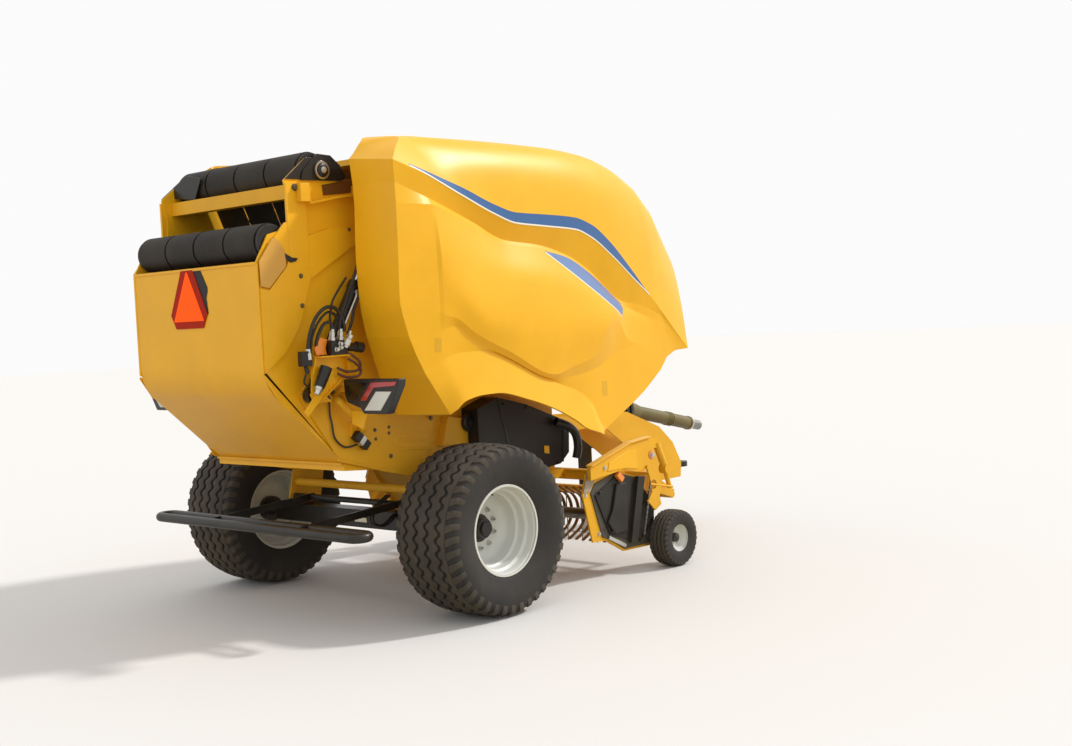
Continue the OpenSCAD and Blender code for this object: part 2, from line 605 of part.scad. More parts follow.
module wheel_place(side) placed() translate([0, side * track / 2, axle_z]) children();
module tyre_left() color(tyre_black) wheel_place(1) tyre(tyre_d, tyre_w, rim_d, main_grooves, 16);
module tyre_right() color(tyre_black) wheel_place(-1) tyre(tyre_d, tyre_w, rim_d, main_grooves, 16);
module rim_left() color(rim_white) wheel_place(1) mirror([0, 1, 0]) main_rim();
module rim_right() color(rim_white) wheel_place(-1) main_rim();

guard_plate = pickup_y - 34;
cover_t = 20;
arm_y = pickup_y + cover_t + 15;
tube_end = [1850, 682];
module pickup_frame() placed() color(yellow) {
    both() {
               plate(pickup_y - 6, 12) polygon([[965, 600], [1010, 740], [1080, 765], [1330, 730], [1560, 660],
            [1735, 450], [1730, 300], [1840, 215], [1835, 160], [1760, 150], [1380, 158], [1180, 262], [1050, 270]]);
        plate(arm_y, 30) polygon([[1002, 700], [1002, 799], [1438, 915], [1667, 932], [1775, 890], [1790, 840],
            [1640, 850], [1612, 714], [1500, 700], [1368, 735]]);
        rod([1755, arm_y, 880], [1848, arm_y, 690], 26);
               for (x = [1050, 1200]) bar_y([x, 733], 14, cover_t, pickup_y + cover_t / 2);
        bar_y(tube_end, 36, 60, arm_y);
        rod([tube_end.x, arm_y, tube_end.y], [1896, arm_y, 540], 18);
        plate(arm_y + 22, 14) difference() {
            polygon([[1600, 730], [1690, 700], [1750, 640], [1762, 560], [1735, 500], [1752, 440], [1680, 405],
                [1600, 480], [1650, 540], [1640, 620]]);
            translate([1672, 590]) circle(r = 34);
        }
        rod([1640, arm_y + 22, 596], [1900, arm_y + 22, 545], 9);
        plate(wing_mid, wall) difference() {
            polygon([[1020, 690], [1080, 690], [1300, 660], [1370, 700], [1340, 725], [1085, 745], [1020, 745]]);
            translate(pickup_pivot) circle(r = 20.3);
        }
        bar_y(gauge, 16, gauge_track / 2 + 20 - pickup_y, (gauge_track / 2 + 20 + pickup_y) / 2);
        bar_y(guard_pivot, 10, 30, pickup_y - 25);
    }
    bar_y(pickup_bar, 40, 2 * pickup_y - 20);
}

module pickup_covers() placed() color(black) both()
   {
    plate(pickup_y + cover_t / 2, cover_t) polygon([[1075, 590], [1300, 690], [1540, 645], [1722, 448],
        [1715, 335], [1540, 200], [1215, 300]]);
    plate(arm_y, 30) polygon([[1519, 667], [1595, 658], [1482, 205], [1408, 215]]);
}

module pickup_reel() placed() color(steel) {
    bar_y(reel, 40, 2 * (pickup_y - 12) - 0.6);
    for (b = [0 : tine_bars - 1]) for (i = [0 : tines - 1])
        translate([reel.x, (i - (tines - 1) / 2) * (2 * pickup_y - 160) / (tines - 1), reel.y])
            rotate([0, b * 360 / tine_bars, 0]) cylinder(h = reel_r, r = 4, $fn = 8);
}

module windguard() placed() color(yellow) {
    bar_y(guard_bar, 28, 2 * guard_plate);
    both() plate(guard_plate, 10) difference() {
        polygon([[1535, 600], [1560, 655], [1800, 640], [2040, 500], [2010, 450]]);
        translate(guard_pivot) circle(r = 10.3);
    }
}

module gauge_wheel(side) placed() translate([gauge.x, side * gauge_track / 2, gauge.y]) {
    color(tyre_black) difference() {
        tyre(gauge_d, gauge_w, 190, gauge_grooves, 7);
        rotate([90, 0, 0]) cylinder(h = 300, r = 16.3, center = true);
    }
    color(rim_white) rotate([90, 0, 0]) difference() {
        cylinder(h = 60, r = 96, center = true);
        cylinder(h = 300, r = 16.3, center = true);
    }
}
module gauge_wheel_left() gauge_wheel(1);
module gauge_wheel_right() gauge_wheel(-1);

ramp_tube_r = 30;
ramp_gap = 60;
module bale_ramp() placed() color(black) {
    for (x = [-ramp_gap, ramp_gap]) bar_y(ramp_bar + [x, 0], ramp_tube_r, 2 * (ramp_y - ramp_gap));
    both() translate([ramp_bar.x, ramp_y - ramp_gap, ramp_bar.y])
        rotate_extrude(angle = 180) translate([ramp_gap, 0]) circle(r = ramp_tube_r);
    both() plate(450, 14) polygon([[ramp_pivot.x + 25, 635], [ramp_pivot.x + 25, 680], [ramp_bar.x, 630], [ramp_bar.x, 580]]);
    bar_y(ramp_pivot, 20, 2 * (side_y - wall) - 1);
}

main_frame();
roof_cover();
net_box();
net_box_lid();
drawbar();
hitch_eye();
gearbox();
pto_guard();
pto_shaft();
axle_beam();
feeder_covers();
feeder_rotor();
feeder_floor();
front_rollers();
front_belts();
tail_lamps();
lamp_brackets();
jack_sleeve();
jack_leg();
barrel_left();
barrel_right();
rod_left();
rod_right();
valve_block();
tailgate_shell();
tailgate_beam();
tailgate_rollers();
tailgate_belts();
warning_triangle();
shield_left();
shield_right();
shield_arms_left();
shield_arms_right();
rim_left();
rim_right();
tyre_left();
tyre_right();
pickup_frame();
pickup_covers();
pickup_reel();
windguard();
gauge_wheel_left();
gauge_wheel_right();
bale_ramp();
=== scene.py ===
"""The looks of a towed variable-chamber round baler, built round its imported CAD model.

Places are given in millimetres, as in a workshop drawing: x forwards and z up from the ground point under
the main axle, y to the machine's left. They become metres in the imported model's frame through at().
"""

from __future__ import annotations

import json
import logging
import math
from dataclasses import dataclass, field
from enum import Enum
from typing import Sequence

import bmesh
import bpy
from mathutils import Matrix, Vector
from mathutils.bvhtree import BVHTree

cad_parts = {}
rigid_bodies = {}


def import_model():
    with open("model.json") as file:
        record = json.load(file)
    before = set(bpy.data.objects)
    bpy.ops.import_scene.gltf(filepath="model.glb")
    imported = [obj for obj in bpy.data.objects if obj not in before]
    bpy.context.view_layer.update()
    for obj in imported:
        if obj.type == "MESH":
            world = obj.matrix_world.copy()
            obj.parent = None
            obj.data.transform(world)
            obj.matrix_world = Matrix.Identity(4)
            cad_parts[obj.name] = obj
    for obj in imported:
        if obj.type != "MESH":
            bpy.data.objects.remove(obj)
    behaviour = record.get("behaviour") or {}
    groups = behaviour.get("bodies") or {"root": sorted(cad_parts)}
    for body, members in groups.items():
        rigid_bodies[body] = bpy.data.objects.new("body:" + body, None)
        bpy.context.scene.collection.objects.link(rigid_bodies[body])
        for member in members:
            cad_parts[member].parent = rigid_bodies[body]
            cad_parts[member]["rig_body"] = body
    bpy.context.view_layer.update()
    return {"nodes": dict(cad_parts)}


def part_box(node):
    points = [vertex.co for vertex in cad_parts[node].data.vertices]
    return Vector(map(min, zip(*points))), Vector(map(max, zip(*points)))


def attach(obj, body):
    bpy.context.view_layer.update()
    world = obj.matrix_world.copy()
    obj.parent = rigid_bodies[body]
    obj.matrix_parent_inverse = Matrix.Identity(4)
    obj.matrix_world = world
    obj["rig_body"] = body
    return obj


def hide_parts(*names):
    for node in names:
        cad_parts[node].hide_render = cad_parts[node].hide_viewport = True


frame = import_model()

LOG = logging.getLogger("baler")
MM = 0.001
MERGE_DISTANCE = 0.00002  # metres within which two points become one
FLAT_ANGLE = 0.6  # degrees under which two faces of a CAD node become one
SHARP_ANGLE = 32.0  # degrees above which an edge stays sharp
BEVEL_ANGLE = 30.0  # degrees above which an edge is rounded
BEVEL_FACES = 2
BEND_STEPS = 6  # chords in a tube's bend
CURVE_STEPS = 8  # chords between two points of a hose
Point2 = tuple[float, float]
Point3 = tuple[float, float, float]
Colour = tuple[float, float, float]
Outline = tuple[Point2, ...]
Path = tuple[Point3, ...]
Numbers = tuple[int, ...]
DUST_COLOUR: Colour = (0.47, 0.38, 0.25)
DUST_ROUGHNESS = 0.55  # how much rougher full dust makes a surface
CLOUD_ROUGHNESS = 0.14  # how much the roughness varies in cloudy patches
MOTTLE_DEEP = 2.2  # how much darker a mottled colour's dark patches are, times its mottle
MOTTLE_PALE = 1.2  # how much lighter its pale patches are
BUMP_HEIGHT = 0.004  # metres that the fine bumps of full strength rise


def axle_ground_point() -> Vector:
    """The ground point under the middle of the main axle, in the row frame.

    Returns:
        A point in metres.
    """
    low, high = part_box("rim_left")
    return Vector(((low.x + high.x) / 2, 0.0, 0.0))


ORIGIN = axle_ground_point()


def at(x: float, y: float, z: float) -> Vector:
    """A place in the row frame, in metres, from workshop millimetres."""
    return ORIGIN + Vector((x, y, z)) * MM


def both_sides() -> tuple[int, int]:
    """The signs of y on the machine's left and right."""
    return (1, -1)


def side_word(sign: int) -> str:
    """The word for a side, from the sign of its y."""
    return "left" if sign > 0 else "right"


def arc_points(centre: Point2, radius: float, start: float, end: float, steps: int) -> list[Point2]:
    """Points on an arc.

    Args:
        centre: The arc's centre.
        radius: Its radius.
        start: The first angle in degrees.
        end: The last angle in degrees.
        steps: How many chords the arc has.

    Returns:
        The points, from the first angle to the last.
    """
    turns = [math.radians(start + (end - start) * i / steps) for i in range(steps + 1)]
    return [(centre[0] + radius * math.cos(t), centre[1] + radius * math.sin(t)) for t in turns]


def rounded_path(points: Sequence[Point3], radius: float) -> list[Vector]:
    """Rounds the corners of a path, as a bent tube is rounded.

    Args:
        points: The path's corners in millimetres.
        radius: The bend's radius in millimetres.

    Returns:
        The path's points in millimetres.
    """
    corners = [Vector(p) for p in points]
    path = [corners[0]]
    for before, corner, after in zip(corners, corners[1:], corners[2:]):
        back, ahead = (before - corner), (after - corner)
        reach = min(radius, back.length * 0.49, ahead.length * 0.49)
        start, end = corner + back.normalized() * reach, corner + ahead.normalized() * reach
        for i in range(BEND_STEPS + 1):
            t = i / BEND_STEPS
            path.append(start * (1 - t) ** 2 + corner * 2 * t * (1 - t) + end * t ** 2)
    path.append(corners[-1])
    return path


def smooth_path(points: Sequence[Point3]) -> list[Vector]:
    """A smooth curve through points, for hoses and cables.

    Args:
        points: The points in millimetres.

    Returns:
        The curve's points in millimetres.
    """
    knots = [Vector(p) for p in points]
    ends = [knots[0] * 2 - knots[1]] + knots + [knots[-1] * 2 - knots[-2]]
    path = []
    for a, b, c, d in zip(ends, ends[1:], ends[2:], ends[3:]):
        for i in range(CURVE_STEPS):
            t = i / CURVE_STEPS
            path.append(0.5 * (2 * b + (c - a) * t + (2 * a - 5 * b + 4 * c - d) * t ** 2
                               + (3 * b - a - 3 * c + d) * t ** 3))
    path.append(knots[-1])
    return path


class Graph:
    """Builds shader nodes in a tree."""

    def __init__(self, tree: bpy.types.NodeTree) -> None:
        """Keeps the tree that the nodes go into."""
        self.tree = tree

    def add(self, kind: str, inputs: dict | None = None, **props: object) -> bpy.types.Node:
        """Adds a node.

        Args:
            kind: The node's type.
            inputs: Values or sockets for the node's inputs, by name or index.
            **props: The node's own properties.

        Returns:
            The node.
        """
        node = self.tree.nodes.new(kind)
        for name, value in props.items():
            setattr(node, name, value)
        for name, value in (inputs or {}).items():
            if isinstance(value, bpy.types.NodeSocket):
                self.tree.links.new(value, node.inputs[name])
            else:
                node.inputs[name].default_value = value
        return node

    def math(self, operation: str, a: object, b: object = 0.5, clamp: bool = False) -> bpy.types.NodeSocket:
        """Adds a math node.

        Args:
            operation: What it works out.
            a: Its first value or socket.
            b: Its second one.
            clamp: Whether the result is kept between 0 and 1.

        Returns:
            The result's socket.
        """
        node = self.add("ShaderNodeMath", {0: a, 1: b}, operation=operation, use_clamp=clamp)
        return node.outputs[0]

    def ramp(self, value: bpy.types.NodeSocket, low: float, high: float) -> bpy.types.NodeSocket:
        """Spreads a part of a value's range over 0 to 1, smoothly.

        Args:
            value: The value's socket.
            low: What becomes 0.
            high: What becomes 1.

        Returns:
            The result's socket.
        """
        node = self.add("ShaderNodeMapRange", {"Value": value, "From Min": low, "From Max": high},
                        interpolation_type="SMOOTHSTEP")
        return node.outputs["Result"]

    def mix(self, share: object, a: object, b: object) -> bpy.types.NodeSocket:
        """Mixes two colours and returns the result's socket."""
        node = self.add("ShaderNodeMix", {0: share, 6: a, 7: b}, data_type="RGBA")
        return node.outputs[2]

    def seen(self) -> bpy.types.NodeSocket:
        """A mask of what is seen directly, in a reflection or through glass, and not by its light alone.

        Returns:
            The mask's socket.
        """
        rays = self.add("ShaderNodeLightPath").outputs
        other = self.math("MAXIMUM", rays["Is Glossy Ray"], rays["Is Transmission Ray"])
        return self.math("MAXIMUM", rays["Is Camera Ray"], other)


def effect_group(name: str, inputs: Sequence[tuple[str, float]], outputs: Sequence[tuple[str, str]]
                 ) -> tuple[bpy.types.NodeTree, Graph, bpy.types.Node, bpy.types.Node]:
    """Starts a shader node group.

    Args:
        name: The group's name.
        inputs: Names and start values of its float inputs.
        outputs: Names and socket types of its outputs.

    Returns:
        The group, its graph and its input and output nodes.
    """
    group = bpy.data.node_groups.new(name, "ShaderNodeTree")
    for label, value in inputs:
        socket = group.interface.new_socket(label, in_out="INPUT", socket_type="NodeSocketFloat")
        socket.default_value = value
    for label, kind in outputs:
        group.interface.new_socket(label, in_out="OUTPUT", socket_type=kind)
    graph = Graph(group)
    return group, graph, graph.add("NodeGroupInput"), graph.add("NodeGroupOutput")


def make_field_dust() -> bpy.types.NodeTree:
    """The dust of field work: more of it low down and in cloudy patches.

    Returns:
        A group with a Dust mask and a Cloud value.
    """
    group, g, source, sink = effect_group(
        "field dust", [("Amount", 0.3), ("Fades at height", 1.4), ("Patch scale", 3.0), ("Speckle scale", 220.0)],
        [("Dust", "NodeSocketFloat"), ("Cloud", "NodeSocketFloat")])
    place = g.add("ShaderNodeTexCoord").outputs["Object"]
    height = g.add("ShaderNodeSeparateXYZ", {0: place}).outputs["Z"]
    low_down = g.math("SUBTRACT", 1.0, g.math("DIVIDE", height, source.outputs["Fades at height"]), clamp=True)
    cloud = g.add("ShaderNodeTexNoise", {"Vector": place, "Scale": source.outputs["Patch scale"], "Detail": 7.0,
                                         "Roughness": 0.62}).outputs["Fac"]
    patches = g.ramp(cloud, 0.2, 0.85)
    fine = g.add("ShaderNodeTexNoise", {"Vector": place, "Scale": source.outputs["Speckle scale"],
                                        "Detail": 3.0}).outputs["Fac"]
    speckle = g.ramp(fine, 0.52, 0.75)
    base = g.math("ADD", g.math("MULTIPLY", low_down, 0.75), 0.25)
    dust = g.math("MULTIPLY", g.math("MULTIPLY", base, source.outputs["Amount"]),
                  g.math("ADD", g.math("MULTIPLY", patches, 0.7), g.math("MULTIPLY", speckle, 0.3)), clamp=True)
    g.tree.links.new(dust, sink.inputs["Dust"])
    g.tree.links.new(cloud, sink.inputs["Cloud"])
    return group


def make_edge_wear() -> bpy.types.NodeTree:
    """Wear along outer edges, from how far a rounded normal departs from the real one.

    Returns:
        A group with an Edge mask.
    """
    group, g, source, sink = effect_group(
        "edge wear", [("Width", 0.004), ("Raggedness scale", 60.0), ("Strength", 1.0)], [("Edge", "NodeSocketFloat")])
    rounded = g.add("ShaderNodeBevel", {"Radius": source.outputs["Width"]}, samples=3).outputs["Normal"]
    real = g.add("ShaderNodeNewGeometry").outputs["Normal"]
    likeness = g.add("ShaderNodeVectorMath", {0: rounded, 1: real}, operation="DOT_PRODUCT").outputs["Value"]
    turned = g.ramp(g.math("SUBTRACT", 1.0, likeness), 0.015, 0.16)
    place = g.add("ShaderNodeTexCoord").outputs["Object"]
    ragged = g.add("ShaderNodeTexNoise", {"Vector": place, "Scale": source.outputs["Raggedness scale"],
                                          "Detail": 4.0}).outputs["Fac"]
    edge = g.math("MULTIPLY", g.math("MULTIPLY", turned, g.ramp(ragged, 0.42, 0.62)), source.outputs["Strength"],
                  clamp=True)
    g.tree.links.new(edge, sink.inputs["Edge"])
    return group


def make_grain() -> bpy.types.NodeTree:
    """Fine surface grain for bumps: enamel ripple, moulded plastic or worn rubber.

    Returns:
        A group with a Height.
    """
    group, g, source, sink = effect_group(
        "surface grain", [("Scale", 500.0), ("Stretch", 1.0), ("Detail", 3.0)], [("Height", "NodeSocketFloat")])
    place = g.add("ShaderNodeTexCoord").outputs["Object"]
    stretch = g.add("ShaderNodeCombineXYZ", {0: 1.0, 1: source.outputs["Stretch"], 2: 1.0}).outputs[0]
    scaled = g.add("ShaderNodeVectorMath", {0: place, 1: stretch}, operation="MULTIPLY").outputs[0]
    noise = g.add("ShaderNodeTexNoise", {"Vector": scaled, "Scale": source.outputs["Scale"],
                                         "Detail": source.outputs["Detail"]}).outputs["Fac"]
    g.tree.links.new(noise, sink.inputs["Height"])
    return group


class Effects:
    """The shader groups that the finishes share, each built once."""

    dust = make_field_dust()
    edges = make_edge_wear()
    grain = make_grain()


def linear(code: str) -> Colour:
    """A linear colour from a screen colour such as F2B21C."""
    parts = [int(code[i:i + 2], 16) / 255 for i in (0, 2, 4)]
    return tuple(p / 12.92 if p <= 0.04045 else ((p + 0.055) / 1.055) ** 2.4 for p in parts)


def opaque(colour: Colour) -> tuple[float, float, float, float]:
    """A colour with full alpha."""
    return (*colour, 1.0)


@dataclass(frozen=True)
class Finish:
    """A surface finish.

    Attributes:
        name: The material's name.
        colour: Its screen colour, such as F2B21C.
        slot: The record's material slot for pieces of this finish, or nothing; not used.
        roughness: How rough it is, from 0 to 1.
        metallic: 1 for bare metal.
        coat: Weight of a clear coat.
        coat_roughness: How rough the clear coat is.
        shine: Strength of the plain reflection, 0.5 for common paint.
        dust: How dusty it is.
        dust_height: The height in metres above which little dust lies.
        worn: The screen colour of its worn edges, or nothing.
        wear: How much of the edges is worn.
        grain: Scale of its fine bumps.
        bump: Strength of its fine bumps.
        stretch: How much the grain is squeezed across the machine.
        mottle: How much its colour varies.
        emission: Strength of a faint glow of its own colour, painted light that stands in for the brightness of
            fluorescent sheet.
    """

    name: str
    colour: str
    slot: str = ""
    roughness: float = 0.4
    metallic: float = 0.0
    coat: float = 0.0
    coat_roughness: float = 0.1
    shine: float = 0.5
    dust: float = 0.25
    dust_height: float = 1.6
    worn: str = ""
    wear: float = 0.6
    grain: float = 420.0
    bump: float = 0.02
    stretch: float = 1.0
    mottle: float = 0.06
    emission: float = 0.0

    def material(self) -> bpy.types.Material:
        """The finish's material, built the first time it is asked for."""
        made = bpy.data.materials.get(self.name)
        return made or self.build()

    def build(self) -> bpy.types.Material:
        """Builds the material's nodes.

        Returns:
            The material.
        """
        material = bpy.data.materials.new(self.name)
        material.use_nodes = True
        g = Graph(material.node_tree)
        shader = material.node_tree.nodes["Principled BSDF"]
        shader.inputs["Metallic"].default_value = self.metallic
        shader.inputs["Specular IOR Level"].default_value = self.shine
        shader.inputs["Coat Weight"].default_value = self.coat
        shader.inputs["Coat Roughness"].default_value = self.coat_roughness
        dust = g.add("ShaderNodeGroup", node_tree=Effects.dust)
        dust.inputs["Amount"].default_value = self.dust
        dust.inputs["Fades at height"].default_value = self.dust_height
        colour = linear(self.colour)
        deep = tuple(c * (1 - MOTTLE_DEEP * self.mottle) for c in colour)
        pale = tuple(min(1.0, c * (1 + MOTTLE_PALE * self.mottle)) for c in colour)
        paint = g.mix(g.ramp(dust.outputs["Cloud"], 0.15, 0.85), opaque(deep), opaque(pale))
        if self.worn:
            wear = g.add("ShaderNodeGroup", {"Strength": self.wear}, node_tree=Effects.edges)
            paint = g.mix(wear.outputs["Edge"], paint, opaque(linear(self.worn)))
        paint = g.mix(dust.outputs["Dust"], paint, opaque(DUST_COLOUR))
        g.tree.links.new(paint, shader.inputs["Base Color"])
        cloudy = g.math("ADD", g.math("MULTIPLY", dust.outputs["Cloud"], CLOUD_ROUGHNESS),
                        self.roughness - CLOUD_ROUGHNESS / 2)
        rough = g.math("ADD", g.math("MULTIPLY", dust.outputs["Dust"], DUST_ROUGHNESS), cloudy, clamp=True)
        g.tree.links.new(rough, shader.inputs["Roughness"])
        grain = g.add("ShaderNodeGroup", {"Scale": self.grain, "Stretch": self.stretch}, node_tree=Effects.grain)
        bump = g.add("ShaderNodeBump", {"Height": grain.outputs["Height"], "Strength": self.bump,
                                        "Distance": BUMP_HEIGHT})
        g.tree.links.new(bump.outputs["Normal"], shader.inputs["Normal"])
        # A painted glow: the surface lights itself though it is no lamp.
        if self.emission:
            shader.inputs["Emission Color"].default_value = opaque(colour)
            shader.inputs["Emission Strength"].default_value = self.emission
        return material


class Paint:
    """The finishes of this machine."""

    yellow = Finish("yellow enamel", "F6B91C", "yellow_paint", roughness=0.42, coat=0.3, coat_roughness=0.32,
                    shine=0.2, dust=0.03, worn="8A6A30", wear=0.35, grain=260.0, bump=0.015, mottle=0.035)
    frame_yellow = Finish("frame enamel", "EFB324", "yellow_paint", roughness=0.46, coat=0.05, shine=0.25,
                          dust=0.1, worn="7A5A2C", wear=0.7, grain=260.0, bump=0.03, mottle=0.06)
    black = Finish("black enamel", "121111", "black_paint", roughness=0.4, coat=0.15, shine=0.35, dust=0.12,
                   worn="6A6560", wear=0.6, grain=300.0, bump=0.03)
    plastic = Finish("black moulded plastic", "100F0F", "black_plastic", roughness=0.52, shine=0.35, dust=0.12,
                     grain=900.0, bump=0.06)
    guard = Finish("olive guard plastic", "665B27", "guard_plastic", roughness=0.5, dust=0.3, grain=500.0,
                   bump=0.05, mottle=0.12)
    belt = Finish("belt rubber", "1F1C1B", "belt_rubber", roughness=0.65, shine=0.3, dust=0.14, dust_height=5.0,
                  grain=700.0, bump=0.2, mottle=0.2)
    hose = Finish("hose rubber", "111010", "black_plastic", roughness=0.4, dust=0.08, grain=900.0, bump=0.05)
    rim = Finish("rim enamel", "D6D9D8", "rim_paint", roughness=0.36, coat=0.3, dust=0.12, dust_height=1.5,
                 worn="8E8C88", wear=0.5, bump=0.02)
    steel = Finish("bare steel", "8C8B86", "bare_steel", roughness=0.42, metallic=1.0, dust=0.3, grain=600.0,
                   bump=0.08, stretch=0.15, mottle=0.15)
    zinc = Finish("zinc plated steel", "C9C8C0", "bare_steel", roughness=0.3, metallic=1.0, dust=0.15,
                  grain=500.0, bump=0.03)
    chrome = Finish("hard chrome", "DADBDC", "bare_steel", roughness=0.12, metallic=1.0, dust=0.05, grain=500.0,
                    bump=0.0)
    signal_red = Finish("signal red border", "B0240C", "signal_sheet", roughness=0.5, dust=0.0, bump=0.0,
                        shine=0.1)
    # The orange sheet glows with painted light.
    signal_orange = Finish("signal orange sheet with painted glow", "FF560C", "signal_sheet", roughness=0.5, dust=0.0, bump=0.0,
                           shine=0.1, emission=0.42)
    blue = Finish("blue stripe film", "1D5A9C", "yellow_paint", roughness=0.28, coat=0.4, dust=0.06, bump=0.0,
                  mottle=0.02)
    pale_blue = Finish("pale blue film", "5A7FBA", "yellow_paint", roughness=0.28, coat=0.4, dust=0.06,
                       bump=0.0, mottle=0.02)
    white = Finish("white edge film", "F3EDDC", "yellow_paint", roughness=0.3, coat=0.3, dust=0.06, bump=0.0,
                   mottle=0.02)
    tyre = Finish("tyre rubber", "151519", "tyre_rubber", roughness=0.75, dust=0.1, dust_height=3.0,
                  grain=350.0, bump=0.3, mottle=0.08)
    # Duller yellow of painted shade for the corner facet, which on the real tailgate is bent inwards and turned from
    # the light.
    facet_shade_yellow = Finish("enamel with painted facet shade", "DCA748", "yellow_paint", roughness=0.42, coat=0.1, dust=0.12,
                          worn="8A6A30", mottle=0.05)
    orange = Finish("orange enamel", "F08A14", "yellow_paint", roughness=0.32, coat=0.4, dust=0.1,
                    worn="7A5A2C", mottle=0.04)
    faded_hose = Finish("faded hose rubber", "5E3629", "black_plastic", roughness=0.5, dust=0.1, grain=900.0,
                        bump=0.05)
    tread = Finish("dusty tread rubber", "423F3C", "tyre_rubber", roughness=0.8, shine=0.3, dust=0.16,
                   dust_height=3.0, grain=350.0, bump=0.3, mottle=0.1)
    weathered = Finish("weathered bolts", "6E6247", "bare_steel", roughness=0.5, metallic=0.5, dust=0.3,
                       mottle=0.15)
    # Brown of painted shade: a plate of it stands in for the shadow inside the tailgate side's recess.
    recess = Finish("painted recess shade", "6E4516", "yellow_paint", roughness=0.6, shine=0.2, dust=0.1)
    # Dark brown that paints the deep shade under the reel on the strippers, together with some dirt.
    strip_shade_and_dirt = Finish("strip with painted shade and dirt", "8A5A22", "yellow_paint", roughness=0.5, shine=0.25, dust=0.3,
                        mottle=0.15)
    panel_grey = Finish("grey plastic panel", "4C4A46", "black_plastic", roughness=0.5, shine=0.3, dust=0.15,
                        grain=900.0, bump=0.04, mottle=0.12)
    pale_steel = Finish("painted deflector", "A69A8C", "yellow_paint", roughness=0.45, dust=0.2, mottle=0.12)
    label = Finish("blank label film", "E2AE2C", "yellow_paint", roughness=0.35, shine=0.3, dust=0.05, bump=0.0,
                   mottle=0.02)
    lamp_body = Finish("lamp housing", "0D0D0E", "black_plastic", roughness=0.4, coat=0.1, dust=0.03,
                       grain=900.0, bump=0.03)
    dark_lens = Finish("dark lens", "101113", roughness=0.2, coat=0.3, dust=0.02, bump=0.0)
    red_lens = Finish("red lens", "B01218", roughness=0.15, coat=0.8, dust=0.05, bump=0.0)
    clear_lens = Finish("clear lens", "D8DCDE", roughness=0.18, coat=0.8, dust=0.05, grain=120.0, bump=0.15)


